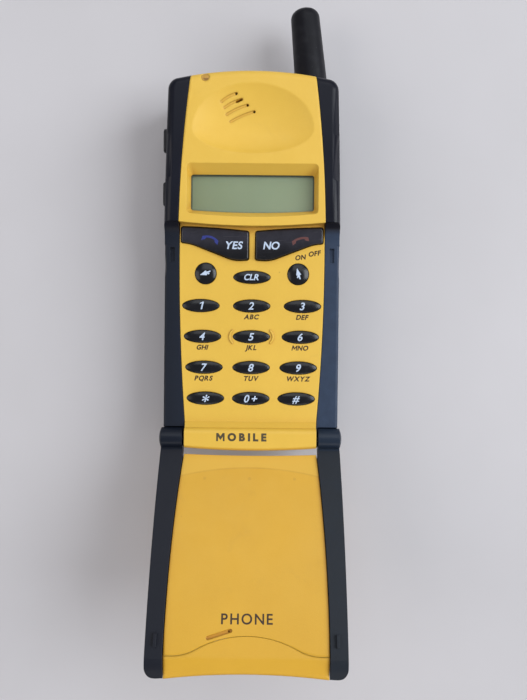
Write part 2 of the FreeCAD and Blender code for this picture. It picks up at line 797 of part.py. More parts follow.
def build_display():
    y = size("display_y")
    node("display_window", plate(-18.3, 18.3, y - 6.2, y + 6.2, 20.1, size("display_floor") - 0.25, 0.6))
    node("lcd_glass", plate(-17.4, 17.4, y - 6.8, y + 6.6, 18.3, 20.0, 0.4))
    frame = plate(-17.7, 17.7, y - 7.2, y + 7.0, size("board_top"), 18.2, 0.8)
    node("lcd_holder", cut(frame, box(-16.2, 16.2, y - 5.4, y + 5.2, 10, 17.6)))


def build_sound():
    x, y = -3.2, 42.0
    capsule_body = rounded(rod(5.6, 3.0, x, y, 16.1), 0.5, lambda mid, bb: mid.z > 19)
    node("earpiece", capsule_body)
    node("earpiece_gasket", cut(rod(5.6, 0.7, x, y, 19.15), rod(4.4, 3, x, y, 18)))
    lens = common(front_block, rod(1.05, 12, -13.2, 49.9, 17.0))
    node("status_lens", lens)
    node("status_led", box(-14.0, -12.4, 47.2, 48.4, size("board_top"), size("board_top") + 1.1))
    can = rod(4.4, 3.6, 2.0, 41.0, size("board_top") - size("board") - 3.6)
    node("buzzer", cut(can, rod(0.7, 1.2, 2.0, 41.0, 10.0)))


def build_board():
    top, thick = size("board_top"), size("board")
    under = top - thick
    outline = plate(-21.6, 21.6, -46.6, 46.6, under, top, 2.0)
    notches = [rod(2.9, 4, x, y, 13) for x, y in SCREWS]
    corner = box(9.5, 30, 40.5, 60, 10, 20)
    side_notches = [box(-30, -20.4, y - 4.8, y + 4.8, 10, 20) for y in VOLUME_KEYS.values()]
    lamp = box(-14.6, -11.8, 46, 48.6, under, top)
    node("main_board", cut(fuse(outline, lamp), *notches, corner, *side_notches))
    cans = []
    for y0, y1 in ((16.5, 34.5), (-44.0, -14.0)):
        can = plate(-16.5, 16.5, y0, y1, under - 2.6, under, 0.6)
        cans.append(cut(can, box(-16.2, 16.2, y0 + 0.3, y1 - 0.3, under - 2.3, under + 1)))
    node("shield_cans", group(*cans))
    holder = plate(-13.6, 13.6, -11.4, 5.4, 9.1, 11.2, 0.8)
    slot = box(-12.7, 12.7, -10.2, 6, 9.5, 10.4)
    legs = [box(x, x + 0.8, -9, 3, 11.2, under) for x in (-13.4, 12.6)]
    node("sim_holder", fuse(cut(holder, slot, box(-9, 9, -9, 3, 9, 9.6)), *legs))
    node("sim_card", plate(-12.5, 12.5, -10.0, 5.0, 9.55, 10.31, 1.0))
    node("backup_cell", rod(2.7, 2.1, 13.2, 37.6, under - 2.1))
    switches = [box(-20.3, -18.4, y - 1.6, y + 1.6, top, VOLUME_Z + 1.0) for y in VOLUME_KEYS.values()]
    node("side_switches", group(*switches))
    base = box(-15.0, -9.0, 36.0, 42.0, under - 2.2, under)
    stem = cut(rod(2.3, 10.0, -12.0, 39.0, under - 12.2), rod(1.0, 11, -12.0, 39.0, 1.5))
    node("rf_connector", fuse(base, stem))
    plug = fuse(rod(3.0, 1.5, -12.0, 39.0, 0.0), rod(0.9, 2.5, -12.0, 39.0, 1.5))
    node("rf_plug", plug)


def build_connector():
    housing = plate(-9.3, 9.3, -52.0, -46.2, 9.3, 11.45, 0.5)
    mouth = box(-8.2, 8.2, -53, -47.4, 9.8, 11.0)
    contacts = []
    for k in range(11):
        x = (k - 5) * 1.4
        contacts.append(fuse(box(x - 0.35, x + 0.35, -51.4, -45.4, 10.0, 10.25),
                             box(x - 0.35, x + 0.35, -45.7, -45.4, 10.0, size("board_top") - size("board"))))
    node("system_connector", cut(housing, mouth, box(-8.2, 8.2, -48, -46, 9.9, 10.35)))
    node("system_contacts", group(*contacts))


def build_fasteners():
    screws = []
    for x, y in SCREWS:
        head_z = 0.9 if y > 17 else SIZES["bay_z"][0] + 0.9
        head = cut(rod(1.8, 1.2, x, y, head_z), prism("XY", star(x, y, 0.85), head_z - 0.1, head_z + 0.7))
        screws.append(fuse(head, rod(0.7, 15.0 - head_z - 1.2, x, y, head_z + 1.2)))
    node("case_screws", group(*screws))


def star(x, y, reach):
    """A six-pointed drive recess."""
    points = []
    for k in range(12):
        r = reach if k % 2 == 0 else reach * 0.68
        points.append((x + r * math.cos(k * math.pi / 6), y + r * math.sin(k * math.pi / 6)))
    return points


def build_antenna():
    length = size("antenna_length")
    sleeve = add("Part::Cone", Radius1=size("antenna_root_r"), Radius2=size("antenna_tip_r"), Height=length)
    sleeve = rounded(sleeve, 2.6, lambda mid, bb: mid.z > 27)
    hollow = add("Part::Cylinder", Radius=2.3, Height=21.5)
    seat = add("Part::Cylinder", Radius=3.1, Height=3.0)
    node("antenna_sleeve", on_antenna(cut(sleeve, hollow, seat), 0))
    collar = add("Part::Cylinder", Radius=3.1, Height=3.4)
    put(collar, 0, 0, -0.4)
    stud = add("Part::Cylinder", Radius=1.8, Height=4.4)
    put(stud, 0, 0, -4.4)
    node("antenna_ferrule", on_antenna(fuse(collar, stud), 0))
    ahead = 3.5
    wound = coil(1.75, 0.25, 1.6, 16.0, 0, 0, 0, Rotation())
    node("antenna_coil", on_antenna(wound, ahead))


# ------------------------------------------------------------------ keys
def build_keys():
    top_of_flange = size("flange_z") + size("flange")
    rim = size("flange_rim")
    half_x, half_y = size("key_half_x"), size("key_half_y")
    sunk = 1.1
    for name, (x, y) in key_places().items():
        crown = pad_height(y) + size("key_proud")
        waist = crown - sunk - 0.7
        dome = ellipsoid(half_x * 1.34, half_y * 1.6, sunk + 0.7, x, y, waist)
        cap = common(oval(half_x, half_y, x, y, waist, crown + 1), dome)
        stem = oval(half_x, half_y, x, y, top_of_flange, waist)
        foot = oval(half_x + rim, half_y + rim, x, y, size("flange_z"), top_of_flange)
        node(name, fuse(cap, stem, foot))
    for name, side in ROUND_KEYS.items():
        x, y, r = size("round_key_x") * side, size("round_key_y"), size("round_key_r")
        crown = pad_height(y) + size("key_proud")
        waist = crown - sunk - 0.7
        dome = ellipsoid(r * 1.4, r * 1.4, sunk + 0.7, x, y, waist)
        cap = common(rod(r, 3, x, y, waist), dome)
        node(name, fuse(cap, rod(r, waist - top_of_flange, x, y, top_of_flange),
                        rod(r + rim, size("flange"), x, y, size("flange_z"))))
    crown = pad_height(5) + size("key_proud")
    cap = rounded(call_key(0, top_of_flange, crown, 0.5), 0.45, lambda mid, bb: mid.z > crown.value - 0.01)
    foot = common(call_key(0.5, size("flange_z"), top_of_flange, 0.7), box(-19.9, -0.2, -10, 20, 10, 30))
    left = fuse(cap, foot)
    node("key_yes", left)
    node("key_no", mirrored(left))
    for name, y in VOLUME_KEYS.items():
        face = plate(-1.25, 1.25, y - 3.4, y + 3.4, 0, 3.0, 1.2)
        face = rounded(face, 0.5, lambda mid, bb: mid.z > 2.9)
        turned = add("Part::Compound")
        turned.Links = [face]
        put(turned, -22.55, 0, VOLUME_Z, Rotation(Vector(0, 1, 0), -90))
        node(name, fuse(turned, box(-22.55, -21.0, y - 4.2, y + 4.2, VOLUME_Z - 1.7, VOLUME_Z + 1.7)))


def build_keypad():
    y1 = 9.6
    mat_z = size("flange_z") - size("key_travel") - 0.15
    sheet_body = plate(-17.4, 17.4, -43.2, y1, mat_z - 0.5, mat_z, 1.0)
    spots = [(x, y) for x, y in key_places().values()]
    spots += [(size("round_key_x") * side, size("round_key_y")) for side in (1, -1)]
    spots += [(dim(-7.0), dim(5.0)), (dim(7.0), dim(5.0))]
    dome_top = size("board_top") + 0.3
    plungers = [rod(1.1, mat_z - 0.5 - dome_top, x, y, dome_top) for x, y in spots]
    node("keypad_mat", fuse(sheet_body, *plungers))
    domes = []
    for x, y in spots:
        cap = add("Part::Sphere", Radius=6.82)
        put(cap, x, y, dome_top - 6.82)
        domes.append(common(cap, rod(2.0, 1.0, x, y, size("board_top"))))
    node("key_domes", group(*domes))


# ------------------------------------------------------------------ flip, drawn closed
def turned_open(made):
    """Turns a closed flip piece about the hinge axis to the open stop."""
    angle = SIZES["flip_open"][0]
    y, z = SIZES["hinge_y"][0], SIZES["hinge_z"][0]
    turn = Rotation(Vector(1, 0, 0), angle)
    away = turn.multVec(Vector(0, y, z))
    made.Placement = Placement(Vector(0, y - away.y, z - away.z), turn)
    c, s = "cos(Sizes.flip_open * 1deg)", "sin(Sizes.flip_open * 1deg)"
    made.setExpression("Placement.Base.y", f"Sizes.hinge_y - Sizes.hinge_y * {c} + Sizes.hinge_z * {s}")
    made.setExpression("Placement.Base.z", f"Sizes.hinge_z - Sizes.hinge_y * {s} - Sizes.hinge_z * {c}")
    made.setExpression("Placement.Rotation.Angle", "Sizes.flip_open")
    return made


def flip_layer(plan, low, high):
    """Part of the flip between two distances from the keypad surface."""
    return cut(common(plan, above_pad(low)), above_pad(high))


def near_plan():
    """Plan of the flip beyond its near edge, which bows towards the free end."""
    half, far = 30.0, 30.0
    edge_y = size("hinge_y") + size("flip_near")
    return [(-half, edge_y - 1.0), (half, edge_y - 1.0, -450.0), (half, far), (-half, far)]


def lip_path():
    """The S-shaped seam near the free end: level at the rails, highest in the middle."""
    far, low, high = 30.0, 5.35, 0.9
    turn_x, turn_y = 12.49, high + 3.022
    return [
        (18.4, low), (turn_x, turn_y, 12.92), (0, high, -27.33), (-turn_x, turn_y, -27.33),
        (-18.4, low, 12.92), (-30, low), (-30, far), (30, far), (30, low),
    ]


def lip_plan():
    return prism("XY", lip_path(), 10, 40)


MICROPHONE = (-6.65, 0.4)


def clear_of_bar():
    """The room round the hinge bar that the flip's skins leave free."""
    return rod(4.0, 80, -40, size("hinge_y"), size("hinge_z"), "X")


def flip_slab():
    """The whole flip between its two faces, with rounded far corners and outer edges."""
    half = size("case_width") / 2 + 0.15
    near_half, start = half + 0.1, size("hinge_y")
    end_y, end_r = size("step_y") - 0.2, size("flip_end_radius")
    corner_y = end_y + end_r - root(end_r * end_r - half * half)
    outline = [
        (near_half, start), (half, corner_y, 2100.0), (-half, corner_y, -end_r), (-near_half, start, 2100.0),
    ]
    plan = rounded(
        prism("XY", outline, 10, 40),
        2.6,
        lambda mid, bb: bb.XLength < 0.01 and bb.YLength < 0.01 and mid.y > 0,
    )
    return rounded(
        flip_layer(plan, size("rail_gap"), size("flip_top")),
        0.9,
        lambda mid, bb: abs(mid.x) > 23.5 and bb.YLength > 30 and mid.z > pad_height(mid.y).value + 2.9,
    )


def flip_rails(slab):
    """The dark side rails: swept up at the free end and sloped down to the knuckles."""
    sweep_z = pad_height(SWEEP_FOOT) + 7.3
    sweep = fuse(
        rod(6.9, 80, -40, SWEEP_FOOT, sweep_z, "X"),
        box(-40, 40, -60, SWEEP_FOOT, 10, 40),
        box(-40, 40, -60, 20, sweep_z, 40),
    )
    inner, axis_y = size("knuckle_in"), size("hinge_y")
    low = size("hinge_z") + size("knuckle_r") - 0.05
    near_slope = prism(
        "YZ",
        [(axis_y - 0.5, low), (axis_y + 3.2, low + 0.9), (axis_y + 3.2, 40), (-60, 40), (-60, low)],
        -40, 40,
    )
    band = prism("XY", band_outline(0), 10, 40)
    return cut(common(slab, sweep), band, near_slope, box(-inner, inner, -60, -44, 10, 40))


def barrel(side):
    """One knuckle with its domed outer end."""
    inner, ball_r = size("knuckle_in"), 6.36
    reach = size("knuckle_out") + size("knuckle_dome") - inner
    y, z = size("hinge_y"), size("hinge_z")
    body = rod(size("knuckle_r"), reach, inner if side > 0 else -inner - reach, y, z, "X")
    ball = put(add("Part::Sphere", Radius=ball_r), (inner + reach - ball_r) * side, y, z)
    return common(body, ball)


def microphone_room():
    """The well for the microphone, behind the inner skin."""
    x, y = MICROPHONE
    well = rod(2.4, 3, x, y, pad_height(y) + size("skin_gap") + size("skin"))
    return common(well, cut(box(-20, 20, -20, 20, 15, 30), above_pad(size("flip_top") - 0.5)))


def build_flip_frame(slab):
    """Rails, knuckles and the thin web between the two skins."""
    skin_high = size("skin_gap") + size("skin")
    web_high = skin_high + size("web")
    band = prism("XY", band_outline(0), 10, 40)
    near = prism("XY", near_plan(), 10, 40)
    web = cut(flip_layer(common(band, near, slab), skin_high, web_high), lip_plan(), clear_of_bar())
    inner = size("knuckle_in")
    bores = [
        rod(size("pin_r"), 4.6, (inner - 0.5) if side > 0 else -inner - 4.1,
            size("hinge_y"), size("hinge_z"), "X")
        for side in (1, -1)
    ]
    x, y = MICROPHONE
    flex_room = flip_layer(box(x - 1.6, x + 1.6, -44, y, 10, 40), web_high - 0.25, web_high + 1)
    whole = fuse(flip_rails(slab), web, barrel(1), barrel(-1))
    node("flip_frame", turned_open(cut(whole, *bores, microphone_room(), flex_room)))


def build_flip_skins(slab):
    """The outer cover with its lip, and the inner skin with the mouth groove."""
    gap, top = size("face_gap"), size("flip_top")
    low, high = size("skin_gap"), size("skin_gap") + size("skin")
    plan = common(prism("XY", band_outline(gap), 10, 40), prism("XY", near_plan(), 10, 40), slab)
    bevel_y, bevel_z = 5.8, pad_height(5.8) + low
    bevel = prism("YZ", [(bevel_y, bevel_z), (bevel_y, 10), (20, 10), (20, bevel_z + 6.8)], -40, 40)
    lip = cut(flip_layer(common(plan, lip_plan()), low, top), bevel)
    cover = fuse(flip_layer(plan, high + size("web"), top + 1), lip)
    node("flip_cover", turned_open(cut(cover, clear_of_bar(), microphone_room())))

    seam = prism("XY", [(p[0], dim(p[1]) - 0.07) + tuple(p[2:]) for p in lip_path()], 10, 40)
    skin = cut(flip_layer(plan, low, high), seam, clear_of_bar())
    groove = cut(capsule((-9.55, 1.3), (-4.05, -0.35), 0.9, 10, 40), above_pad(low + 0.6))
    sound_hole = rod(0.28, 30, -4.4, -0.25, 10)
    node("flip_inner_panel", turned_open(cut(skin, groove, sound_hole)))


def build_flip_insides():
    """Microphone, its flat lead, the hinge pins and the two rubber bumpers."""
    skin_high = size("skin_gap") + size("skin")
    web_high = skin_high + size("web")
    x, y = MICROPHONE
    mic = rod(2.2, 0.5, x, y, pad_height(y) + skin_high + 0.18)
    node("microphone", turned_open(group(mic)))
    flex = flip_layer(box(x - 1.5, x + 1.5, -43.6, y - 2.6, 10, 40), web_high - 0.22, web_high - 0.04)
    node("flip_flex", turned_open(flex))
    inner = size("knuckle_in")
    pins = [
        rod(size("pin_r"), 9.6, (inner - 5.5) if side > 0 else -inner - 4.1,
            size("hinge_y"), size("hinge_z"), "X")
        for side in (1, -1)
    ]
    node("hinge_pins", turned_open(group(*pins)))
    bumpers = []
    for side in (1, -1):
        column = box(side * 22.3 - 0.4, side * 22.3 + 0.4, 0.4, 3.4, 15, 30)
        bumpers.append(flip_layer(column, size("rail_gap") - 0.75, size("rail_gap")))
    node("flip_bumpers", turned_open(group(*bumpers)))


def build_flip():
    slab = flip_slab()
    build_flip_frame(slab)
    build_flip_skins(slab)
    build_flip_insides()
    start = -size("band_low") + 3.45
    node("hinge_spring", coil(0.98, 0.16, 0.8, 5.4, start, size("hinge_y"), size("hinge_z"), AXES["X"]))


# ------------------------------------------------------------------ assembly
def main():
    node("front_frame", build_front_frame())
    node("front_panel", build_front_panel())
    node("rear_shell", build_rear_shell())
    build_battery()
    build_latch()
    build_display()
    build_sound()
    build_board()
    build_connector()
    build_fasteners()
    build_antenna()
    build_keys()
    build_keypad()
    build_flip()
    doc.recompute()

    faults = [o.Name for o in doc.Objects if {"Invalid", "Error"} & set(o.State)]
    faults += [name for name, made in nodes.items() if made.Shape.isNull() or not made.Shape.isValid()]
    if faults:
        raise SystemExit(f"failed objects: {faults}")
    os.makedirs("parts", exist_ok=True)
    for name, made in nodes.items():
        made.Shape.exportStep(f"parts/{name}.step")
        print(f"{name:18s} solids {len(made.Shape.Solids):2d}  volume {made.Shape.Volume:9.1f} mm3")


main()
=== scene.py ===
import json
import math

import bmesh
import bpy
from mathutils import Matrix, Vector
from mathutils.bvhtree import BVHTree


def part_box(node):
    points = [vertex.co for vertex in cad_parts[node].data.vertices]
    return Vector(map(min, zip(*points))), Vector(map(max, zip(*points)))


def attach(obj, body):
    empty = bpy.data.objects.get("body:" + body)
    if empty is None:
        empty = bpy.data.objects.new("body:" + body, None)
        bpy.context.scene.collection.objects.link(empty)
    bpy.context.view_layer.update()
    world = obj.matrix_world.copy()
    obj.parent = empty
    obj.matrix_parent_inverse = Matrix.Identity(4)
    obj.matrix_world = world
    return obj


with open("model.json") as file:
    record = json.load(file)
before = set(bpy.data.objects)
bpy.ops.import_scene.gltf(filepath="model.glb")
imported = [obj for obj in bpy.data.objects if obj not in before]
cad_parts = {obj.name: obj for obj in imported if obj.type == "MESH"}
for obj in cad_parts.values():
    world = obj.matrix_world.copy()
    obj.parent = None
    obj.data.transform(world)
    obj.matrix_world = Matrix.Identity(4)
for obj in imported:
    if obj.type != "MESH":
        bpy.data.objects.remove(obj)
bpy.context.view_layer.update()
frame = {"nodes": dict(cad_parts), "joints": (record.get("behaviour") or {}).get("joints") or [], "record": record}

# Materials and printed marks for the CAD part of a flip mobile phone, then its floor, lights and camera.
# Blender's lengths are in metres; sizes given in mm are multiplied by MM where they meet Blender.
MM = 0.001
NODES = frame["nodes"]
X, Y = (1, 0, 0), (0, 1, 0)
scene = bpy.context.scene

# The hinge axis, and the open flip's direction away from it and out of its inner face.
joint = next(j for j in frame["joints"] if j["name"] == "flip_hinge")
HINGE = Vector(joint["pos_m"])
OPENING = math.radians(180 - joint["range_deg"][1])
ALONG = Vector((0, -math.cos(OPENING), math.sin(OPENING)))
OUTWARD = Vector((0, math.sin(OPENING), math.cos(OPENING)))


# ------------------------------------------------------------------ colours
def srgb(*display):
    """Linear colour from 8-bit display values."""
    levels = [v / 255 for v in display]
    return tuple(v / 12.92 if v <= 0.04045 else ((v + 0.055) / 1.055) ** 2.4 for v in levels)


def scaled(colour, *factors):
    """A colour times one factor, or times one factor for each channel."""
    if len(factors) == 1:
        factors *= 3
    return tuple(min(1.0, c * k) for c, k in zip(colour, factors))


YELLOW = (0.765, 0.478, 0.063)
# Painted shade: the flip's yellow is a darker copy of the band's yellow, standing in for the shade on the open
# flip's tilted face.
FLIP_YELLOW_SHADED = (0.688, 0.380, 0.028)
FLIP_BY_HINGE = (0.735, 0.435, 0.050)
FOLD_LINE = (0.50, 0.25, 0.03)
PIN_MARK = (0.40, 0.20, 0.03)
SMUDGE = (0.30, 0.17, 0.045)
SPECK = (0.16, 0.08, 0.02)
# Painted shade in narrow gaps, on the front and on the flip.
BAND_GAP_SHADE = (0.016, 0.009, 0.004)
FLIP_GAP_SHADE = (0.22, 0.095, 0.010)

DARK = (0.0038, 0.0046, 0.0115)
# Painted light on the dull dark plastic: darker on the left and lighter on the right, as the lamp falls; for the
# front rails, the flip and back, and the knuckles.
RAIL_PAINTED_SHADE_LEFT = (0.0085, 0.0120, 0.0210)
RAIL_PAINTED_LIGHT_RIGHT = (0.034, 0.053, 0.095)
FLIP_PAINTED_SHADE_LEFT = (0.0085, 0.0098, 0.0165)
FLIP_PAINTED_LIGHT_RIGHT = (0.0120, 0.0155, 0.0215)
KNUCKLE_PAINTED_SHADE_LEFT = (0.0060, 0.0090, 0.0170)
KNUCKLE_PAINTED_LIGHT_RIGHT = (0.0150, 0.0240, 0.0420)
RAIL_INSIDE = (0.30, 0.13, 0.012)
DUST = (0.22, 0.23, 0.26)
RUBBED_DARK = (0.14, 0.15, 0.18)

KEY_BLACK = (0.0030, 0.0030, 0.0045)
KEY_BLACK_PALE = (0.0070, 0.0070, 0.0095)
# Painted reflection that greys the call keys' end by the display.
KEY_PAINTED_SHEEN = (0.032, 0.031, 0.043)
KEY_LINT = (0.35, 0.33, 0.32)
# Painted shade at the keys' feet.
KEY_FOOT_SHADE = (0.0010, 0.0010, 0.0012)
RUBBED_KEY = (0.10, 0.10, 0.11)
RUBBER_BLOOM = (0.25, 0.25, 0.27)
RUBBER_LINT = (0.4, 0.4, 0.42)


# ------------------------------------------------------------------ node-tree helpers
class Tree:
    """A material's node tree, with short calls for the nodes used here."""

    def __init__(self, name):
        self.material = bpy.data.materials.new(name)
        self.material.use_nodes = True
        self.nodes = self.material.node_tree.nodes
        self.links = self.material.node_tree.links
        self.shader = self.nodes["Principled BSDF"]
        self.place = self.nodes.new("ShaderNodeTexCoord").outputs["Object"]

    def join(self, source, target):
        """Feeds a socket from another socket, or sets it to a number, a vector or a colour."""
        if isinstance(source, (int, float, Vector)):
            target.default_value = source
        elif isinstance(source, tuple):
            target.default_value = (*source, 1.0)
        else:
            self.links.new(source, target)

    # numbers
    def calc(self, operation, a, b=0.0):
        made = self.nodes.new("ShaderNodeMath")
        made.operation = operation
        self.join(a, made.inputs[0])
        self.join(b, made.inputs[1])
        return made.outputs[0]

    def plus(self, a, b):
        return self.calc("ADD", a, b)

    def minus(self, a, b):
        return self.calc("SUBTRACT", a, b)

    def times(self, a, b):
        return self.calc("MULTIPLY", a, b)

    def size(self, a):
        return self.calc("ABSOLUTE", a)

    def radius(self, u, v):
        return self.calc("SQRT", self.plus(self.times(u, u), self.times(v, v)))

    def dot(self, a, b):
        made = self.nodes.new("ShaderNodeVectorMath")
        made.operation = "DOT_PRODUCT"
        self.join(a, made.inputs[0])
        self.join(b, made.inputs[1])
        return made.outputs["Value"]

    def axis(self, letter):
        made = self.nodes.new("ShaderNodeSeparateXYZ")
        self.links.new(self.place, made.inputs[0])
        return made.outputs[letter]

    def span(self, value, low, high, to_low=0.0, to_high=1.0, smooth=False):
        """The value, clamped and rescaled from low..high to to_low..to_high."""
        made = self.nodes.new("ShaderNodeMapRange")
        made.interpolation_type = "SMOOTHSTEP" if smooth else "LINEAR"
        self.join(value, made.inputs["Value"])
        limits = {"From Min": low, "From Max": high, "To Min": to_low, "To Max": to_high}
        for socket, number in limits.items():
            made.inputs[socket].default_value = number
        return made.outputs["Result"]

    # patterns
    def stretched(self, x, y, z):
        made = self.nodes.new("ShaderNodeMapping")
        self.links.new(self.place, made.inputs["Vector"])
        made.inputs["Scale"].default_value = (x, y, z)
        return made.outputs["Vector"]

    def noise(self, size_mm, detail=3.0, rough=0.5, vector=None, distortion=0.0):
        made = self.nodes.new("ShaderNodeTexNoise")
        self.links.new(vector or self.place, made.inputs["Vector"])
        made.inputs["Scale"].default_value = 1.0 / (size_mm * MM)
        made.inputs["Detail"].default_value = detail
        made.inputs["Roughness"].default_value = rough
        made.inputs["Distortion"].default_value = distortion
        return made.outputs["Fac"]

    def cells(self, size_mm, feature="F1"):
        made = self.nodes.new("ShaderNodeTexVoronoi")
        made.feature = feature
        self.links.new(self.place, made.inputs["Vector"])
        made.inputs["Scale"].default_value = 1.0 / (size_mm * MM)
        return made.outputs["Distance"]

    def specks(self, apart_mm, outer, inner):
        """1 on small round specks; outer and inner are their radii in parts of apart_mm."""
        return self.span(self.cells(apart_mm), outer, inner, smooth=True)

    def scratches(self, size_mm, run, low=0.66, high=0.74):
        """1 on thin lines that run along the axis with the small scale."""
        return self.span(self.noise(size_mm, 2, 0.5, vector=self.stretched(*run)), low, high)

    def bevel(self, radius_mm, samples=4):
        made = self.nodes.new("ShaderNodeBevel")
        made.samples = samples
        if isinstance(radius_mm, (int, float)):
            made.inputs["Radius"].default_value = radius_mm * MM
        else:
            self.links.new(self.times(radius_mm, MM), made.inputs["Radius"])
        return made.outputs["Normal"]

    def edges(self, radius_mm):
        """1 on sharp edges and 0 on flat places."""
        faces = self.nodes.new("ShaderNodeNewGeometry").outputs["Normal"]
        turn = self.minus(1.0, self.dot(self.bevel(radius_mm), faces))
        return self.span(turn, 0.02, 0.2, smooth=True)

    def hollows(self, reach_mm, open_at=0.85, full_at=0.35):
        """1 deep in narrow gaps and corners, 0 on open faces; it masks painted shade there."""
        made = self.nodes.new("ShaderNodeAmbientOcclusion")
        made.samples = 6
        made.inputs["Distance"].default_value = reach_mm * MM
        return self.span(made.outputs["AO"], open_at, full_at, smooth=True)

    # colours and the shader
    def blend(self, factor, a, b):
        made = self.nodes.new("ShaderNodeMix")
        made.data_type = "RGBA"
        self.join(factor, made.inputs["Factor"])
        self.join(a, made.inputs[6])
        self.join(b, made.inputs[7])
        return made.outputs[2]

    def uneven(self, pattern, tint, darker, lighter, low=0.3):
        """The tint, from darker to lighter times itself as the pattern goes from low to 0.7."""
        return self.blend(self.span(pattern, low, 0.7), scaled(tint, darker), scaled(tint, lighter))

    def painted_light_left_to_right(self, left, right):
        """Painted light: from a shaded colour on the left to a lit one on the right, across the phone's width."""
        half_width = 23 * MM
        return self.blend(self.span(self.axis("X"), -half_width, half_width), left, right)

    def relief(self, *layers, normal=None):
        """Bump from (height, depth in mm) layers, over an optional starting normal."""
        for height, depth in layers:
            made = self.nodes.new("ShaderNodeBump")
            made.inputs["Strength"].default_value = 1.0
            made.inputs["Distance"].default_value = depth * MM
            self.join(height, made.inputs["Height"])
            if normal is not None:
                self.links.new(normal, made.inputs["Normal"])
            normal = made.outputs["Normal"]
        self.links.new(normal, self.shader.inputs["Normal"])

    def finish(self, colour, roughness, **fixed):
        self.join(colour, self.shader.inputs["Base Color"])
        self.join(roughness, self.shader.inputs["Roughness"])
        for name, value in fixed.items():
            self.shader.inputs[name.replace("_", " ")].default_value = value
        return self.material


# ------------------------------------------------------------------ the two case plastics
# Where the yellow edges turn from crisp to soft: from y, to y, and their radius there, in mm.
CRISP_EDGE = 0.25
BAND_SOFTENS = (26.5, 29.5, 0.9)  # around the earpiece
FLIP_SOFTENS = (-94, -98, 1.1)  # at the free end


def crease(t):
    """Masks on the flip's inner face by its hinge: the paler band, the bowed fold line that ends it, and
    three faint pin marks in a row beyond it."""
    fold_at, fold_bow, line_width = 8.3 * MM, 150 * MM, 0.35 * MM
    marks_at, marks_apart = 11.3 * MM, 12.2 * MM
    reach = t.minus(t.dot(t.place, ALONG), HINGE.dot(ALONG))
    x = t.axis("X")
    bowed = t.minus(reach, t.times(t.times(x, x), 1 / fold_bow))
    band = t.span(bowed, 8.5 * MM, 7.9 * MM, smooth=True)
    line = t.span(t.size(t.minus(bowed, fold_at)), 0.0, line_width, 1.0, 0.0, smooth=True)
    across = t.size(x)
    across = t.calc("MINIMUM", across, t.size(t.minus(across, marks_apart)))
    marks = t.span(t.radius(across, t.minus(reach, marks_at)), 0.55 * MM, 0.30 * MM, smooth=True)
    return band, line, marks


def yellow_plastic(name, tint, grime, folded=False, creased=False):
    """Warm yellow moulding: fine eroded texture, faint mottling, rubbed edges, small specks of dirt, and painted
    shade in its hollows and gaps. folded is for the flip, with browner painted shade in its gaps and soft edges at
    its free end; creased adds the fold."""
    t = Tree(name)
    broad = t.noise(22, 3, 0.55)
    middle = t.noise(5.0, 4, 0.6)
    fine = t.noise(0.32, 2, 0.5)
    worn = t.edges(0.25)

    base = t.uneven(broad, tint, 0.965, 1.03)
    base = t.blend(t.span(middle, 0.35, 0.75, 0.0, 0.28), base, scaled(tint, 0.93, 0.87, 0.62))
    base = t.blend(t.span(fine, 0.3, 0.7, 0.0, 0.14), base, scaled(tint, 1.12))
    smudge = t.span(t.noise(8.5, 5, 0.65, distortion=0.6), 0.56, 0.76, smooth=True)
    base = t.blend(t.times(smudge, 0.10 * grime), base, SMUDGE)
    speck = t.times(t.specks(6.2, 0.042, 0.030), t.span(t.noise(9.0, 1, 0.5), 0.54, 0.56))
    base = t.blend(t.times(speck, 0.55 * grime), base, SPECK)
    # Painted shade: deeper orange in hollows, and near black (browner on the flip) in narrow gaps.
    valley_shade = t.times(t.hollows(3.4, 0.95, 0.60), 0.50)
    base = t.blend(valley_shade, base, scaled(tint, 0.62, 0.38, 0.08))
    gap = t.times(t.hollows(0.7, 0.40, 0.16), 0.92)
    base = t.blend(gap, base, FLIP_GAP_SHADE if folded else BAND_GAP_SHADE)
    rubbed = t.times(worn, t.span(t.noise(1.6, 3, 0.6), 0.4, 0.62, 0.0, 0.5))
    base = t.blend(rubbed, base, scaled(tint, 1.22))
    if creased:
        band_mask, line, marks = crease(t)
        base = t.blend(t.times(band_mask, 0.75), base, FLIP_BY_HINGE)
        base = t.blend(t.times(line, t.span(middle, 0.3, 0.7, 0.15, 0.45)), base, FOLD_LINE)
        base = t.blend(t.times(marks, 0.22), base, PIN_MARK)

    rough = t.span(broad, 0.3, 0.7, 0.40, 0.50)
    rough = t.plus(rough, t.span(middle, 0.3, 0.75, -0.05, 0.06))
    rough = t.minus(rough, t.times(worn, 0.08))
    start, end, soft = FLIP_SOFTENS if folded else BAND_SOFTENS
    edge = t.span(t.axis("Y"), start * MM, end * MM, CRISP_EDGE, soft)
    scratch = t.scratches(0.5, (1.0, 0.035, 1.0))
    t.relief((t.cells(0.22), 0.012), (fine, 0.010), (scratch, -0.004), normal=t.bevel(edge, 8))
    return t.finish(base, rough, Specular_IOR_Level=0.5)


def beside_keys(t):
    """Mask of the rails' upper face, from the step below the display to the hinge."""
    below_step = t.span(t.axis("Y"), 9.2 * MM, 7.6 * MM)
    upper_face = t.span(t.axis("Z"), 16 * MM, 17 * MM)
    return t.times(below_step, upper_face)


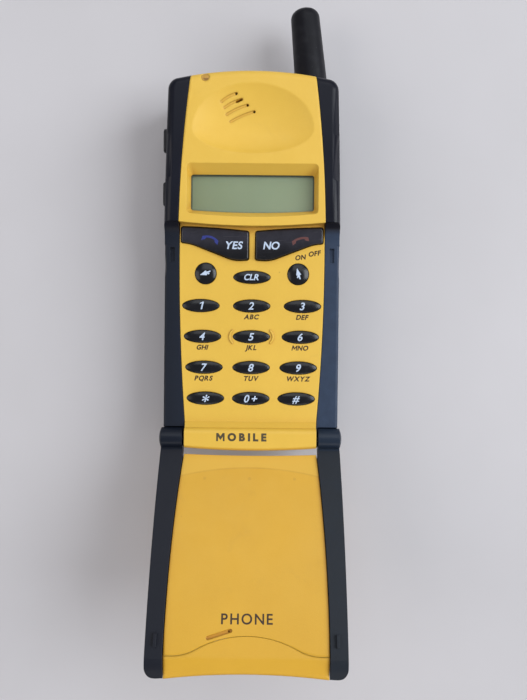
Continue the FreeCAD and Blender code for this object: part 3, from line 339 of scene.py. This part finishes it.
def dark_plastic(name, tint, left, right, where, level):
    """Blue-black lacquered moulding. On the front it is polished beside the display and dull beside the keys,
    on the flip it is polished on the knuckles only, and on the back it is dull all over. The dull parts and the
    knuckles carry painted light: darker on the left and lighter on the right, as the lamp falls."""
    t = Tree(name)
    broad = t.noise(18, 3, 0.55)
    middle = t.noise(3.2, 4, 0.6)
    fine = t.noise(0.25, 2, 0.5)

    if where == "flip":
        dull = t.span(t.axis("Y"), HINGE.y - 3.0 * MM, HINGE.y - 3.4 * MM)
        # Painted light: the knuckles go from shaded on the left to lit on the right.
        tint = polished = t.painted_light_left_to_right(KNUCKLE_PAINTED_SHADE_LEFT, KNUCKLE_PAINTED_LIGHT_RIGHT)
    else:
        dull = beside_keys(t) if where == "front" else 1.0
        polished = t.uneven(broad, tint, 0.85, 1.15)
    # Painted light: the dull plastic goes from shaded on the left to lit on the right, mottled towards the tint.
    rubbed = t.blend(t.span(middle, 0.3, 0.75, 0.0, 0.25), t.painted_light_left_to_right(left, right), tint)
    base = t.blend(dull, polished, rubbed)
    if where == "flip":
        inner_side = t.span(t.size(t.axis("X")), 18.1 * MM, 17.9 * MM)
        free_end = t.span(t.axis("Y"), -90 * MM, -92 * MM)
        base = t.blend(t.times(inner_side, free_end), base, RAIL_INSIDE)
    dust = t.times(t.specks(0.9, 0.09, 0.05), t.span(t.noise(5.0, 3, 0.6), 0.55, 0.75, 0.0, 0.16))
    base = t.blend(dust, base, DUST)
    worn = t.times(t.edges(0.22), t.span(t.noise(4.0, 4, 0.65), 0.45, 0.7, 0.0, 0.16))
    base = t.blend(worn, base, RUBBED_DARK)

    rough = t.span(middle, 0.3, 0.75, 0.30, 0.37)
    rough = t.plus(rough, t.times(dull, 0.14))
    rough = t.plus(rough, t.span(broad, 0.35, 0.7, -0.03, 0.04))
    scratch = t.scratches(0.45, (1.0, 0.04, 1.0), 0.66, 0.75)
    grain = t.times(t.cells(0.24), t.calc("MAXIMUM", dull, 0.25))
    t.relief((grain, 0.012), (fine, 0.006), (scratch, -0.005), normal=t.bevel(0.2))
    return t.finish(base, rough, Specular_IOR_Level=level)


# ------------------------------------------------------------------ keys, rubber, metal and other plastics
def key_plastic(name, bloom=0.0):
    """Glossy black key caps with fine scratches, a polished crown and painted shade at their feet; a painted
    reflection greys the end by the display, as strongly as the second argument says.
    """
    t = Tree(name)
    base = t.blend(t.span(t.noise(6, 3, 0.5), 0.3, 0.7), KEY_BLACK, KEY_BLACK_PALE)
    # Painted reflection: a grey sheen on the end by the display, broken up by noise.
    painted_sheen_mask = t.times(t.span(t.axis("Y"), 1.5 * MM, 7.0 * MM, 0.0, bloom, smooth=True),
                      t.span(t.noise(3.0, 4, 0.6), 0.25, 0.6, 0.6, 1.0))
    base = t.blend(painted_sheen_mask, base, KEY_PAINTED_SHEEN)
    base = t.blend(t.times(t.specks(1.3, 0.05, 0.03), 0.22), base, KEY_LINT)
    # Painted shade: near black at the keys' feet, in the gaps around them.
    base = t.blend(t.times(t.hollows(1.0), 0.75), base, KEY_FOOT_SHADE)
    base = t.blend(t.times(t.edges(0.2), 0.12), base, RUBBED_KEY)
    scratch = t.scratches(0.3, (0.05, 1.0, 1.0))
    rough = t.plus(t.span(t.noise(2.4, 4, 0.6), 0.3, 0.75, 0.16, 0.26), t.times(scratch, 0.15))
    t.relief((t.noise(0.55, 2, 0.5), 0.006), (scratch, -0.003), normal=t.bevel(0.18))
    return t.finish(base, rough, Specular_IOR_Level=0.42)


def rubber(name, tint, roughness=0.5, specular=0.45):
    """Soft matte rubber: fine pitting, a pale bloom and lint."""
    t = Tree(name)
    base = t.uneven(t.noise(9, 4, 0.6), tint, 0.85, 1.25)
    base = t.blend(t.span(t.noise(4, 5, 0.65), 0.5, 0.8, 0.0, 0.04), base, RUBBER_BLOOM)
    base = t.blend(t.times(t.specks(1.6, 0.045, 0.03), 0.3), base, RUBBER_LINT)
    rough = t.span(t.noise(3, 3, 0.6), 0.3, 0.75, roughness - 0.06, roughness + 0.08)
    t.relief((t.cells(0.2), 0.012), (t.noise(0.6, 3, 0.6), 0.012), normal=t.bevel(0.25))
    return t.finish(base, rough, Specular_IOR_Level=specular)


def metal(name, tint, roughness):
    """Worn plated metal with a grain drawn along y."""
    t = Tree(name)
    grain = t.noise(0.25, 3, 0.6, vector=t.stretched(1.0, 0.05, 1.0))
    broad = t.noise(4, 4, 0.6)
    base = t.uneven(broad, tint, 0.8, 1.0, low=0.35)
    base = t.blend(t.span(grain, 0.4, 0.7, 0.0, 0.2), base, scaled(tint, 0.6))
    rough = t.plus(t.span(broad, 0.3, 0.7, roughness - 0.06, roughness + 0.08),
                   t.span(grain, 0.4, 0.7, 0.0, 0.1))
    t.relief((grain, 0.006), normal=t.bevel(0.1))
    return t.finish(base, rough, Metallic=1.0)


def moulded(name, tint, roughness=0.5):
    """Plain moulded plastic with a fine erosion texture."""
    t = Tree(name)
    base = t.uneven(t.noise(5, 4, 0.6), tint, 0.88, 1.1)
    base = t.blend(t.span(t.noise(0.4, 2, 0.5), 0.4, 0.7, 0.0, 0.15), base, scaled(tint, 1.25))
    rough = t.span(t.noise(2, 3, 0.6), 0.3, 0.7, roughness - 0.06, roughness + 0.08)
    t.relief((t.cells(0.18), 0.01), normal=t.bevel(0.12))
    return t.finish(base, rough)


def ink(name, tint):
    """Printed ink: slightly uneven cover with worn pinholes."""
    t = Tree(name)
    base = t.uneven(t.noise(0.6, 3, 0.6), tint, 0.86, 1.06, low=0.35)
    rough = t.span(t.noise(0.5, 2, 0.5), 0.3, 0.7, 0.40, 0.52)
    t.relief((t.noise(0.12, 2, 0.5), 0.004))
    return t.finish(base, rough)


# ------------------------------------------------------------------ display, lamp and board
def lcd_surface(name):
    """Reflective liquid crystal panel: grey-green and darker towards the far end, with painted light that makes it
    lighter towards its right side, a faint dot matrix and a dark border.
    """
    t = Tree(name)
    dot, border_half_width = 0.34 * MM, 16.6 * MM
    near_edge, near_bow, far_edge = 13.85 * MM, 460 * MM, 23.45 * MM
    x, y = t.axis("X"), t.axis("Y")
    cloud = t.noise(14, 2, 0.5)
    # Painted light: lighter towards the right side, where the lamp falls.
    tone = t.blend(t.span(x, -17 * MM, 17 * MM), srgb(120, 133, 99), srgb(140, 157, 128))
    tone = t.blend(t.span(y, 13.6 * MM, 23.3 * MM, 0.0, 0.5), tone, srgb(122, 138, 103))
    tone = t.blend(t.span(cloud, 0.35, 0.7, 0.0, 0.3), tone, srgb(136, 149, 114))

    columns, rows = (
        t.span(t.size(t.calc("SINE", t.times(value, math.pi / dot))), 0.0, 0.30, 1.0, 0.0) for value in (x, y)
    )
    lines = t.calc("MAXIMUM", columns, rows)
    tone = t.blend(t.times(lines, 0.05), tone, srgb(104, 120, 90))

    sides = t.span(t.size(x), border_half_width, 17.0 * MM, smooth=True)
    far_end = t.span(y, far_edge, 23.8 * MM, smooth=True)
    bowed = t.minus(y, t.times(t.times(x, x), 1 / near_bow))
    near_end = t.span(bowed, near_edge, 13.5 * MM, smooth=True)
    border = t.calc("MAXIMUM", sides, t.calc("MAXIMUM", far_end, near_end))
    tone = t.blend(t.times(border, 0.8), tone, srgb(46, 52, 34))
    rough = t.span(cloud, 0.3, 0.7, 0.30, 0.38)
    t.relief((lines, -0.003), (t.noise(0.15, 2, 0.5), 0.003))
    return t.finish(tone, rough, Specular_IOR_Level=0.4)


def clear_plastic(name, alpha):
    """Clear hard-coated cover with hairline scratches and a few smears."""
    t = Tree(name)
    smear = t.noise(6, 4, 0.6, distortion=0.8)
    scratch = t.scratches(0.35, (0.03, 1.0, 1.0), 0.68)
    rough = t.plus(t.span(smear, 0.45, 0.75, 0.03, 0.12), t.times(scratch, 0.2))
    tone = t.blend(t.span(smear, 0.4, 0.7), (0.55, 0.60, 0.52), (0.63, 0.66, 0.60))
    t.relief((scratch, -0.003))
    return t.finish(tone, rough, Alpha=alpha, IOR=1.49)


def amber_lens(name):
    """Amber lamp cover, darker in a patch on its lower half."""
    t = Tree(name)
    lens_x, lens_y = -13.0 * MM, 49.75 * MM
    dx, dy = t.minus(t.axis("X"), lens_x), t.minus(t.axis("Y"), lens_y)
    inside = t.span(t.radius(dx, dy), 0.95 * MM, 0.45 * MM, smooth=True)
    low = t.span(dy, 0.15 * MM, -0.35 * MM, smooth=True)
    patchy = t.span(t.noise(0.7, 4, 0.6), 0.35, 0.6, 0.55, 1.0)
    base = t.blend(t.span(t.noise(0.5, 3, 0.6), 0.35, 0.65), (0.50, 0.26, 0.040), (0.58, 0.33, 0.075))
    base = t.blend(t.times(t.times(inside, low), patchy), base, (0.060, 0.018, 0.005))
    rough = t.span(t.noise(0.6, 3, 0.6), 0.3, 0.7, 0.18, 0.35)
    t.relief((t.noise(0.3, 3, 0.5), 0.02))
    return t.finish(base, rough, Specular_IOR_Level=0.25)


def board_surface(name):
    """Green solder mask over etched tracks."""
    t = Tree(name)
    tracks = t.span(t.cells(1.1, "DISTANCE_TO_EDGE"), 0.05, 0.10, 1.0, 0.0)
    base = t.blend(tracks, (0.012, 0.09, 0.035), (0.03, 0.17, 0.07))
    rough = t.span(t.noise(3, 3, 0.5), 0.3, 0.7, 0.25, 0.4)
    t.relief((tracks, 0.02))
    return t.finish(base, rough)


# ------------------------------------------------------------------ each node's material
inner_flip = yellow_plastic("flip_yellow", FLIP_YELLOW_SHADED, 0.75, folded=True, creased=True)
outer_flip = yellow_plastic("flip_skin", FLIP_YELLOW_SHADED, 0.75, folded=True)
flip_dark = dark_plastic("flip_dark", DARK, FLIP_PAINTED_SHADE_LEFT, FLIP_PAINTED_LIGHT_RIGHT, "flip", 0.26)
rear_dark = dark_plastic("rear_dark", scaled(DARK, 1.3), FLIP_PAINTED_SHADE_LEFT, FLIP_PAINTED_LIGHT_RIGHT, "back", 0.42)
call_key = key_plastic("call_black", bloom=0.9)

SLOT_MATERIAL = {
    "dark_paint": dark_plastic("case_dark", DARK, RAIL_PAINTED_SHADE_LEFT, RAIL_PAINTED_LIGHT_RIGHT, "front", 0.22),
    "band_paint": yellow_plastic("band_yellow", YELLOW, 0.6),
    "key_black": key_plastic("keys_black"),
    "side_key": rubber("side_key_rubber", (0.008, 0.008, 0.012)),
    "antenna_rubber": rubber("antenna_rubber", (0.0032, 0.0031, 0.0060), 0.42, 0.20),
    "rubber": rubber("seal_rubber", (0.03, 0.03, 0.033), 0.6),
    "black_plastic": moulded("black_moulding", (0.014, 0.014, 0.016), 0.45),
    "white_plastic": moulded("white_moulding", (0.70, 0.70, 0.66)),
    "card": moulded("card_plastic", (0.78, 0.78, 0.77), 0.35),
    "flex": moulded("amber_film", (0.50, 0.22, 0.035), 0.35),
    "spring_steel": metal("spring_steel", (0.62, 0.62, 0.61), 0.28),
    "tinned_steel": metal("tinned_steel", (0.70, 0.70, 0.69), 0.38),
    "cell_wrap": metal("cell_can", (0.60, 0.61, 0.62), 0.36),
    "gold_contacts": metal("gold_plate", (0.85, 0.60, 0.24), 0.25),
    "window": clear_plastic("display_cover", 0.05),
    "lens": clear_plastic("lens_clear", 0.75),
    "lcd": lcd_surface("lcd_panel"),
    "board": board_surface("board_mask"),
}
NODE_MATERIAL = {
    "flip_frame": flip_dark,
    "flip_bumpers": flip_dark,
    "flip_inner_panel": inner_flip,
    "flip_cover": outer_flip,
    "rear_shell": rear_dark,
    "battery_case": rear_dark,
    "key_yes": call_key,
    "key_no": call_key,
    "status_lens": amber_lens("lamp_cover"),
    "hinge_pins": metal("black_oxide", (0.045, 0.045, 0.05), 0.42),
}
for row in frame["record"]["subparts"]:
    name = row["node"]
    data = NODES[name].data
    data.materials.clear()
    data.materials.append(NODE_MATERIAL.get(name, SLOT_MATERIAL[row["material_slot"]]))


# ------------------------------------------------------------------ flat shapes of the printed marks, in mm
def filled(*outlines):
    """Flat mesh from closed outlines."""
    shape = bmesh.new()
    for outline in outlines:
        shape.faces.new([shape.verts.new((x, y, 0)) for x, y in outline])
    return shape


def digit_one(height, weight):
    """The 1, with a short flag and no foot."""
    h, stroke = height + 2 * weight, height * 0.15 + 2 * weight
    right, flag_left, flag_top = 0.62 * h, 0.14 * h, 0.84 * h
    points = [(right, 0), (right, h), (right - stroke, h), (flag_left, flag_top),
              (flag_left, flag_top - stroke * 0.62), (right - stroke, h - stroke * 0.95), (right - stroke, 0)]
    return filled([(x, y - weight) for x, y in points])


def letter_m(height, weight):
    """The M, with upright legs and a low point between them."""
    h, wide = height + 2 * weight, height * 1.04 + 2 * weight
    leg, point = height * 0.12 + 1.6 * weight, 0.14 * h
    points = [(0, 0), (leg, 0), (leg, h - 2.0 * leg), (wide / 2, point), (wide - leg, h - 2.0 * leg),
              (wide - leg, 0), (wide, 0), (wide, h), (wide - leg * 1.15, h), (wide / 2, point + 2.1 * leg),
              (leg * 1.15, h), (0, h)]
    return filled([(x, y - weight) for x, y in points])


DRAWN = {"1": digit_one, "M": letter_m}
CAPITAL_HEIGHT = 0.68  # of the built-in font's size
WORD_GAP = 0.15  # of the letters' height


def letter_mesh(character, height, weight):
    """Flat mesh of one character, standing on the line y = 0 with its left side at x = 0."""
    if character in DRAWN:
        return DRAWN[character](height, weight)
    curve = bpy.data.curves.new("letter", "FONT")
    curve.body = character
    curve.size = height / CAPITAL_HEIGHT
    curve.offset = weight
    curve.resolution_u = 5
    holder = bpy.data.objects.new("letter", curve)
    scene.collection.objects.link(holder)
    bpy.context.view_layer.update()
    mesh = bpy.data.meshes.new_from_object(holder.evaluated_get(bpy.context.evaluated_depsgraph_get()))
    bpy.data.objects.remove(holder)
    bpy.data.curves.remove(curve)
    shape = bmesh.new()
    shape.from_mesh(mesh)
    bpy.data.meshes.remove(mesh)
    left = min(v.co.x for v in shape.verts)
    for v in shape.verts:
        v.co.x -= left
    return shape


def text_mesh(text, height, slant=0.0, weight=0.0, spacing=0.2):
    """Flat mesh of a text centred on the origin; spacing is the gap between letters per height."""
    shape = bmesh.new()
    at = 0.0
    for character in text:
        if character == " ":
            at += WORD_GAP * height
            continue
        letter = letter_mesh(character, height, weight)
        wide = max(v.co.x for v in letter.verts)
        copies = {v: shape.verts.new((v.co.x + at, v.co.y, 0)) for v in letter.verts}
        for face in letter.faces:
            shape.faces.new([copies[v] for v in face.verts])
        letter.free()
        at += wide + spacing * height
    middle_x = (at - spacing * height) / 2
    for v in shape.verts:
        v.co.x -= middle_x
        v.co.y -= height / 2
        v.co.x += v.co.y * slant
    return shape


def turned(outline, degrees):
    c, s = math.cos(math.radians(degrees)), math.sin(math.radians(degrees))
    return [(x * c - y * s, x * s + y * c) for x, y in outline]


def receiver_outline(bow, length=4.7, thick=0.6, cup=0.5, steps=16):
    """Outline of a telephone receiver: a bowed bar with a cup at each end."""
    top, bottom = [], []
    for k in range(steps + 1):
        s = -1 + 2 * k / steps
        x = s * length / 2
        y = bow * (1 - s * s)
        top.append((x, y + thick / 2))
        bottom.append((x, y - thick / 2 - (cup if abs(s) > 0.6 else 0.0)))
    return top + bottom[::-1]


ARROW = [(-1.65, -0.15), (0.25, 0.80), (0.30, 0.38), (1.50, 0.50), (1.45, 0.14), (0.85, 0.0), (1.15, -0.35),
         (0.80, -0.50), (0.35, -0.22), (0.30, -0.62)]


# ------------------------------------------------------------------ laying a mark on the part
INK_THICK = 0.03
FACET = 0.22  # longest edge of a mark's triangles
MOST_CUTS = 7  # times that the edges are halved at most
WELD = 0.003  # corners closer than this become one
DROP = 4  # height above its centre from which a mark is dropped
surfaces = {}


def surface(node):
    """Ray-cast tree of a CAD node's mesh."""
    if node not in surfaces:
        mesh = NODES[node].data
        surfaces[node] = BVHTree.FromPolygons(
            [v.co.copy() for v in mesh.vertices], [tuple(p.vertices) for p in mesh.polygons]
        )
    return surfaces[node]


def triangulate_finely(shape):
    """Triangles with edges no longer than FACET, so that the shape can follow a curved face."""
    shape.normal_update()
    bmesh.ops.triangulate(shape, faces=shape.faces[:])
    bmesh.ops.remove_doubles(shape, verts=shape.verts[:], dist=WELD)
    for _ in range(MOST_CUTS):
        long_edges = [e for e in shape.edges if e.calc_length() > FACET]
        if not long_edges:
            break
        bmesh.ops.subdivide_edges(shape, edges=long_edges, cuts=1)
        bmesh.ops.triangulate(shape, faces=shape.faces[:])


def drape(shape, node, centre, right, up, proud):
    """Drops a flat shape onto a CAD node's surface and makes it a thin closed layer."""
    right = Vector(right).normalized()
    up = Vector(up).normalized()
    normal = right.cross(up)
    tree = surface(node)
    for v in shape.verts:
        start = Vector(centre) * MM + (right * v.co.x + up * v.co.y) * MM
        hit, _, _, _ = tree.ray_cast(start + normal * DROP * MM, -normal)
        v.co = (hit if hit is not None else start) + normal * proud * MM
    bmesh.ops.recalc_face_normals(shape, faces=shape.faces[:])
    flipped = [f for f in shape.faces if f.normal.dot(normal) < 0]
    bmesh.ops.reverse_faces(shape, faces=flipped)
    made = bmesh.ops.extrude_face_region(shape, geom=shape.faces[:])["geom"]
    for v in [g for g in made if isinstance(g, bmesh.types.BMVert)]:
        v.co -= normal * INK_THICK * MM
    bmesh.ops.reverse_faces(shape, faces=[g for g in made if isinstance(g, bmesh.types.BMFace)])
    bmesh.ops.recalc_face_normals(shape, faces=shape.faces[:])


def new_object(name, shape, material):
    """Puts a bmesh into the scene as an object."""
    mesh = bpy.data.meshes.new(name)
    shape.to_mesh(mesh)
    shape.free()
    mesh.materials.append(material)
    made = bpy.data.objects.new(name, mesh)
    scene.collection.objects.link(made)
    return made


def lay_on(name, shape, node, body, centre, right, up, material, proud):
    """Lays a flat mesh on a CAD node as printed ink and lets it ride on the body."""
    triangulate_finely(shape)
    drape(shape, node, centre, right, up, proud)
    piece = new_object(name, shape, material)
    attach(piece, body)


def print_on_key(name, shape, node, material, dx=0.0, dy=0.0, proud=0.014):
    """Lays a mark on a key, off the middle of its top by dx, dy."""
    low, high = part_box(node)
    centre = (low + high) / 2 / MM + Vector((dx, dy, 0))
    centre.z = high.z / MM
    lay_on(name, shape, node, f"{node}_body", centre, X, Y, material, proud)


def print_on_case(name, shape, node, body, centre, material, right=X, up=Y):
    lay_on(name, shape, node, body, centre, right, up, material, proud=0.010)


# ------------------------------------------------------------------ the printed marks
white_ink = ink("legend_white", srgb(196, 212, 235))
brown_ink = ink("legend_brown", (0.040, 0.018, 0.007))
grey_ink = ink("legend_grey", (0.075, 0.058, 0.030))
blue_ink = ink("legend_blue", srgb(38, 50, 132))
red_ink = ink("legend_red", srgb(100, 56, 54))


def key_legend(node, text, height=2.0, dx=0.0, dy=0.0, slant=0.24, weight=0.055, spacing=0.2):
    print_on_key(f"legend_{node}", text_mesh(text, height, slant, weight, spacing), node, white_ink, dx, dy)


for digit in "123456789":
    key_legend(f"key_{digit}", digit)
key_legend("key_star", "*", 3.0, dy=-0.75)
key_legend("key_0", "0 +")
key_legend("key_hash", "#")
key_legend("key_clear", "CLR", 1.6, spacing=0.06, weight=0.06)
key_legend("key_yes", "YES", dx=5.1, dy=-0.5, slant=0.2, weight=0.07, spacing=0.07)
key_legend("key_no", "NO", dx=-4.75, dy=-0.5, slant=0.16, weight=0.07, spacing=0.07)

RECEIVERS = {"key_yes": (-1.5, blue_ink, 0.75, -17), "key_no": (3.2, red_ink, 0.55, 15)}
for node, (dx, colour, bow, tilt) in RECEIVERS.items():
    shape = filled(turned(receiver_outline(bow), tilt))
    print_on_key(f"legend_{node}_icon", shape, node, colour, dx, dy=1.0, proud=0.012)
for node, tilt in (("key_left", 12), ("key_right", -82)):
    print_on_key(f"legend_{node}", filled(turned(ARROW, tilt)), node, white_ink)

CASE_PRINT = 1.25  # height of the small letters
PANEL_Z = 20  # near the front panel's face
LETTERS = {"key_2": "ABC", "key_3": "DEF", "key_4": "GHI", "key_5": "JKL", "key_6": "MNO",
           "key_7": "PQRS", "key_8": "TUV", "key_9": "WXYZ"}
for node, letters in LETTERS.items():
    low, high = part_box(node)
    centre = (low + high) / 2 / MM + Vector((0.0, -3.05, 0))
    centre.z = PANEL_Z
    gap = 0.02 if node == "key_9" else 0.13
    shape = text_mesh(letters, CASE_PRINT, 0.24, 0.072, gap)
    print_on_case(f"letters_{node}", shape, "front_panel", "handset", centre, brown_ink)

for label, x, y, tilt in (("ON", 13.55, 1.3, 7), ("OFF", 17.5, 2.4, 8)):
    c, s = math.cos(math.radians(tilt)), math.sin(math.radians(tilt))
    shape = text_mesh(label, CASE_PRINT, 0.2, 0.068, 0.12)
    print_on_case(f"letters_{label.lower()}", shape, "front_panel", "handset", (x, y, PANEL_Z),
                  brown_ink, right=(c, s, 0), up=(-s, c, 0))

above_bar = (-2.4, -48.55, 24.5)
print_on_case("word_bar", text_mesh("MOBILE", 1.9, weight=0.16, spacing=0.42), "front_panel", "handset",
              above_bar, grey_ink)
above_flip = HINGE / MM + ALONG * 46.2 + OUTWARD * 1.0
print_on_case("word_flip", text_mesh("PHONE", 2.35, weight=0.055, spacing=0.28), "flip_inner_panel", "flip",
              above_flip, brown_ink, up=-ALONG)


# ------------------------------------------------------------------ floor, light and camera
def add_floor():
    t = Tree("floor_pale")
    broad = t.noise(120, 4, 0.55)
    tone = t.blend(t.span(broad, 0.3, 0.7), (0.55, 0.53, 0.545), (0.60, 0.58, 0.60))
    rough = t.span(broad, 0.3, 0.7, 0.5, 0.6)
    t.relief((t.noise(6, 3, 0.5), 0.02))
    material = t.finish(tone, rough, Specular_IOR_Level=0.3)
    reach = 3
    corners = [(-reach, -reach), (reach, -reach), (reach, reach), (-reach, reach)]
    floor = new_object("floor", filled(corners), material)


def add_light(name, place, width, height, watts, colour):
    """Rectangular lamp that points at the origin."""
    lamp = bpy.data.lights.new(name, "AREA")
    lamp.shape = "RECTANGLE"
    lamp.size, lamp.size_y = width, height
    lamp.energy = watts
    lamp.color = colour
    holder = bpy.data.objects.new(name, lamp)
    holder.location = place
    holder.rotation_mode = "QUATERNION"
    holder.rotation_quaternion = (-Vector(place)).to_track_quat("-Z", "Y")
    scene.collection.objects.link(holder)


def add_world(colour, strength):
    world = bpy.data.worlds.new("studio")
    world.use_nodes = True
    background = world.node_tree.nodes["Background"]
    background.inputs["Color"].default_value = (*colour, 1)
    background.inputs["Strength"].default_value = strength
    scene.world = world


def add_camera(place_mm, lens, shift_y, roll_degrees):
    """Camera that looks straight down."""
    camera = bpy.data.cameras.new("camera")
    camera.sensor_width = 36
    camera.lens = lens
    camera.shift_y = shift_y
    camera.clip_start = 0.01
    holder = bpy.data.objects.new("camera", camera)
    holder.location = [v * MM for v in place_mm]
    holder.rotation_euler = (0, 0, math.radians(roll_degrees))
    scene.collection.objects.link(holder)
    scene.camera = holder


# Name: place, width and height in metres, watts, colour.
LIGHTS = {
    "window_right": ((1.25, 0.20, 1.10), 1.1, 1.3, 25, (0.92, 0.965, 1.0)),
    "window_far": ((0.2, 1.9, 1.3), 1.8, 1.0, 4.5, (1.0, 0.99, 0.97)),
    "panel_far": ((0.05, 0.80, 1.30), 1.1, 0.70, 3.5, (0.93, 0.97, 1.0)),
    "low_left": ((-1.3, -0.1, 1.1), 1.0, 1.2, 7, (1.0, 0.94, 0.90)),
    "low_near": ((0.1, -1.3, 0.85), 1.2, 0.5, 2.6, (1.0, 0.95, 0.90)),
}

add_floor()
for name, (place, width, height, watts, colour) in LIGHTS.items():
    add_light(name, place, width, height, watts, colour)
add_world((0.86, 0.89, 0.95), 0.30)
add_camera((3.4, -19.65, 201.2), lens=33.33, shift_y=-0.0257, roll_degrees=0.55)
scene.view_settings.view_transform = "Standard"
scene.view_settings.look = "None"
